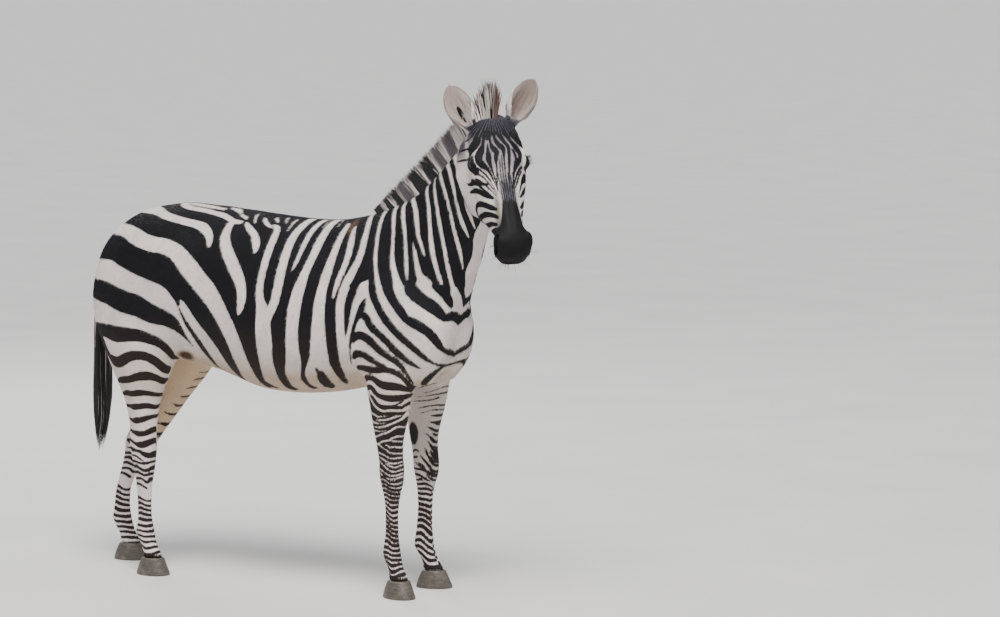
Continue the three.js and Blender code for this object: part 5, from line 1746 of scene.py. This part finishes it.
# ---- tail --------------------------------------------------------------------------------
# x, z, half width, half depth
TAIL = smooth_rows([
    (-842, 1085, 24, 23), (-858, 1010, 21, 20), (-862, 930, 20, 19), (-862, 850, 26, 23),
    (-860, 760, 33, 28), (-860, 670, 38, 31), (-860, 590, 38, 30), (-864, 510, 30, 24),
    (-870, 440, 18, 14), (-876, 398, 6, 5)], 4)
TAIL_LOCKS = 900


def build_tail():
    share = np.linspace(0, 1, 8)
    angle = RANDOM.uniform(0, 2 * math.pi, TAIL_LOCKS)
    reach = np.sqrt(RANDOM.uniform(0.15, 1.0, TAIL_LOCKS))
    start = 1062 - 300 * RANDOM.random(TAIL_LOCKS) ** 0.8
    long = np.where(start > 960, RANDOM.uniform(150, 620, TAIL_LOCKS),
                    RANDOM.uniform(250, 520, TAIL_LOCKS))
    end = np.maximum(start - long, RANDOM.uniform(392, 500, TAIL_LOCKS))
    height = start[:, None] + (end - start)[:, None] * share
    x, half, depth = (np.interp(-height, -TAIL[:, 1], TAIL[:, column]) for column in (0, 2, 3))
    wave = 2.5 * np.sin(height / 55 + angle[:, None] * 2)
    spread = reach[:, None] * (0.97 + 0.05 * share)
    path = np.stack([x + depth * spread * np.cos(angle)[:, None] + wave * 0.5,
                     half * spread * np.sin(angle)[:, None] + wave * 0.4, height], 2)
    side = np.stack([-np.sin(angle), np.cos(angle), 0 * angle], 1)
    wide = np.outer(RANDOM.uniform(3.0, 5.5, TAIL_LOCKS),
                    [0.8, 1, 1, 0.95, 0.85, 0.7, 0.45, 0.1])
    points, faces, each = strands(path, side, wide, wide * 0.5)
    pale = (RANDOM.random(TAIL_LOCKS) < 0.10) | (
        (start > 985) & (RANDOM.random(TAIL_LOCKS) < 0.45))
    pale &= long < 420
    colour = np.where(pale[:, None], WHITE_LOCK * 0.6, BLACK_LOCK)
    colour = colour * np.clip(RANDOM.normal(1, 0.18, TAIL_LOCKS), 0.5, 1.5)[:, None]
    spots = np.stack([(start - start.min()) / np.ptp(start), angle / 6.3], 1)
    add_hair("tail_hair", points, faces, np.repeat(colour, each, axis=0), spots, each, ["tail"])


build_tail()


# ---- lashes and whiskers -------------------------------------------------------------------
LASHES, WHISKERS = 34, 70


def build_lashes(name, side):
    axes = eye_frame(side)
    along = np.linspace(-15.5, 15.5, LASHES) + RANDOM.normal(0, 0.4, LASHES)
    upper, _ = lid_margins(along)
    reach = np.hypot(along, upper)
    out = EYE_RADIUS + LID - reach**2 / 46 - 0.8
    share = np.array([0, 0.5, 1.0])
    long = RANDOM.uniform(13, 19, LASHES)[:, None] * share
    local = np.stack([along[:, None] + long * np.sign(along[:, None]) * 0.12,
                      (upper + 0.6)[:, None] - long * 0.28 + 0.2 * long * share,
                      out[:, None] + long * 0.92], 2)
    path = from_head(EYES[side] + local @ axes)
    wide = np.outer(np.full(LASHES, 0.95), [1, 0.8, 0.1])
    points, faces, each = strands(path, np.tile(axes[0] @ HEAD_AXES, (LASHES, 1)), wide, wide * 0.7)
    spots = np.stack([np.linspace(0, 1, LASHES), np.full(LASHES, 0.5)], 1)
    add_hair("lashes_" + name, points, faces, np.tile(BLACK_LOCK, (len(points), 1)), spots, each)


for side, name in ((1, "left"), (-1, "right")):
    build_lashes(name, side)


def build_whiskers():
    uvw = to_head(skin_points)
    lips = (uvw[:, 0] > 415) & (uvw[:, 1] < -62) & (region_masks(skin_points)[0] > 0.5)
    lips &= np.abs(uvw[:, 2]) > 8
    chosen = RANDOM.choice(np.flatnonzero(lips), WHISKERS, replace=False)
    lean = unit(skin_normals[chosen] + 0.35 * HEAD_AXES[0] + RANDOM.normal(0, 0.15, (WHISKERS, 3)))
    share = np.array([0, 0.4, 0.75, 1.0])
    long = RANDOM.uniform(14, 32, WHISKERS)[:, None] * share
    path = skin_points[chosen][:, None] - lean[:, None] + lean[:, None] * long[..., None]
    path[..., 2] -= 0.12 * long * share
    wide = np.outer(np.full(WHISKERS, 0.75), [1, 0.85, 0.6, 0.1])
    points, faces, each = strands(path, unit(np.cross(lean, [0.1, 0.3, 1.0])), wide, wide)
    spots = unwrap(skin_points[chosen], HEAD_AXES[0])
    add_hair("whiskers", points, faces, np.tile(BLACK_LOCK, (len(points), 1)), spots, each)


build_whiskers()

# ---- floor, lights, camera ---------------------------------------------------------------
LENS, SENSOR = 126.0, 36.0
CAMERA_PLACE = np.array([6172.0, -10225.0, 2096.0])
VIEW_OUT = np.array([0.4673, -0.8789, 0.0958])

FLOOR, CLIP_END = 400.0, 1000.0    # half the floor's side and how far the camera sees, metres
corners = np.array([(-1, -1, 0), (1, -1, 0), (1, 1, 0), (-1, 1, 0)]) * FLOOR
floor = make_object("floor", corners / MM - SHIFT, [(0, 1, 2, 3)])
floor.data.materials.append(floor_material())


def area_light(name, place, target, size, power, colour=(1, 1, 1)):
    data = bpy.data.lights.new(name, "AREA")
    data.shape, data.size, data.energy, data.color = "DISK", size, power, colour
    light = bpy.data.objects.new(name, data)
    light.location = place
    light.rotation_euler = (Vector(target) - Vector(place)).to_track_quat("-Z", "Y").to_euler()
    bpy.context.scene.collection.objects.link(light)


area_light("key", (2.0, -4.0, 6.5), (0, 0, 0.9), 3.0, 330, (1.0, 0.97, 0.93))
area_light("back", (-5.0, 4.0, 4.5), (0, 0, 1.0), 3.0, 170)
soft_sun = bpy.data.lights.new("soft_sun", "SUN")
soft_sun.energy, soft_sun.angle = 2.9, math.radians(25)
sun = bpy.data.objects.new("soft_sun", soft_sun)
sun.rotation_euler = Vector((0.25, -0.45, 1.0)).to_track_quat("Z", "Y").to_euler()
bpy.context.scene.collection.objects.link(sun)
world = bpy.data.worlds.new("studio")
world.use_nodes = True
world.node_tree.nodes["Background"].inputs["Color"].default_value = (0.80, 0.83, 0.88, 1)
world.node_tree.nodes["Background"].inputs["Strength"].default_value = 0.65
bpy.context.scene.world = world

camera = bpy.data.objects.new("camera", bpy.data.cameras.new("camera"))
camera.data.lens, camera.data.sensor_width, camera.data.clip_end = LENS, SENSOR, CLIP_END
camera.location = to_world(CAMERA_PLACE)
camera.rotation_euler = Vector(VIEW_OUT).to_track_quat("Z", "Y").to_euler()
bpy.context.scene.collection.objects.link(camera)
bpy.context.scene.camera = camera
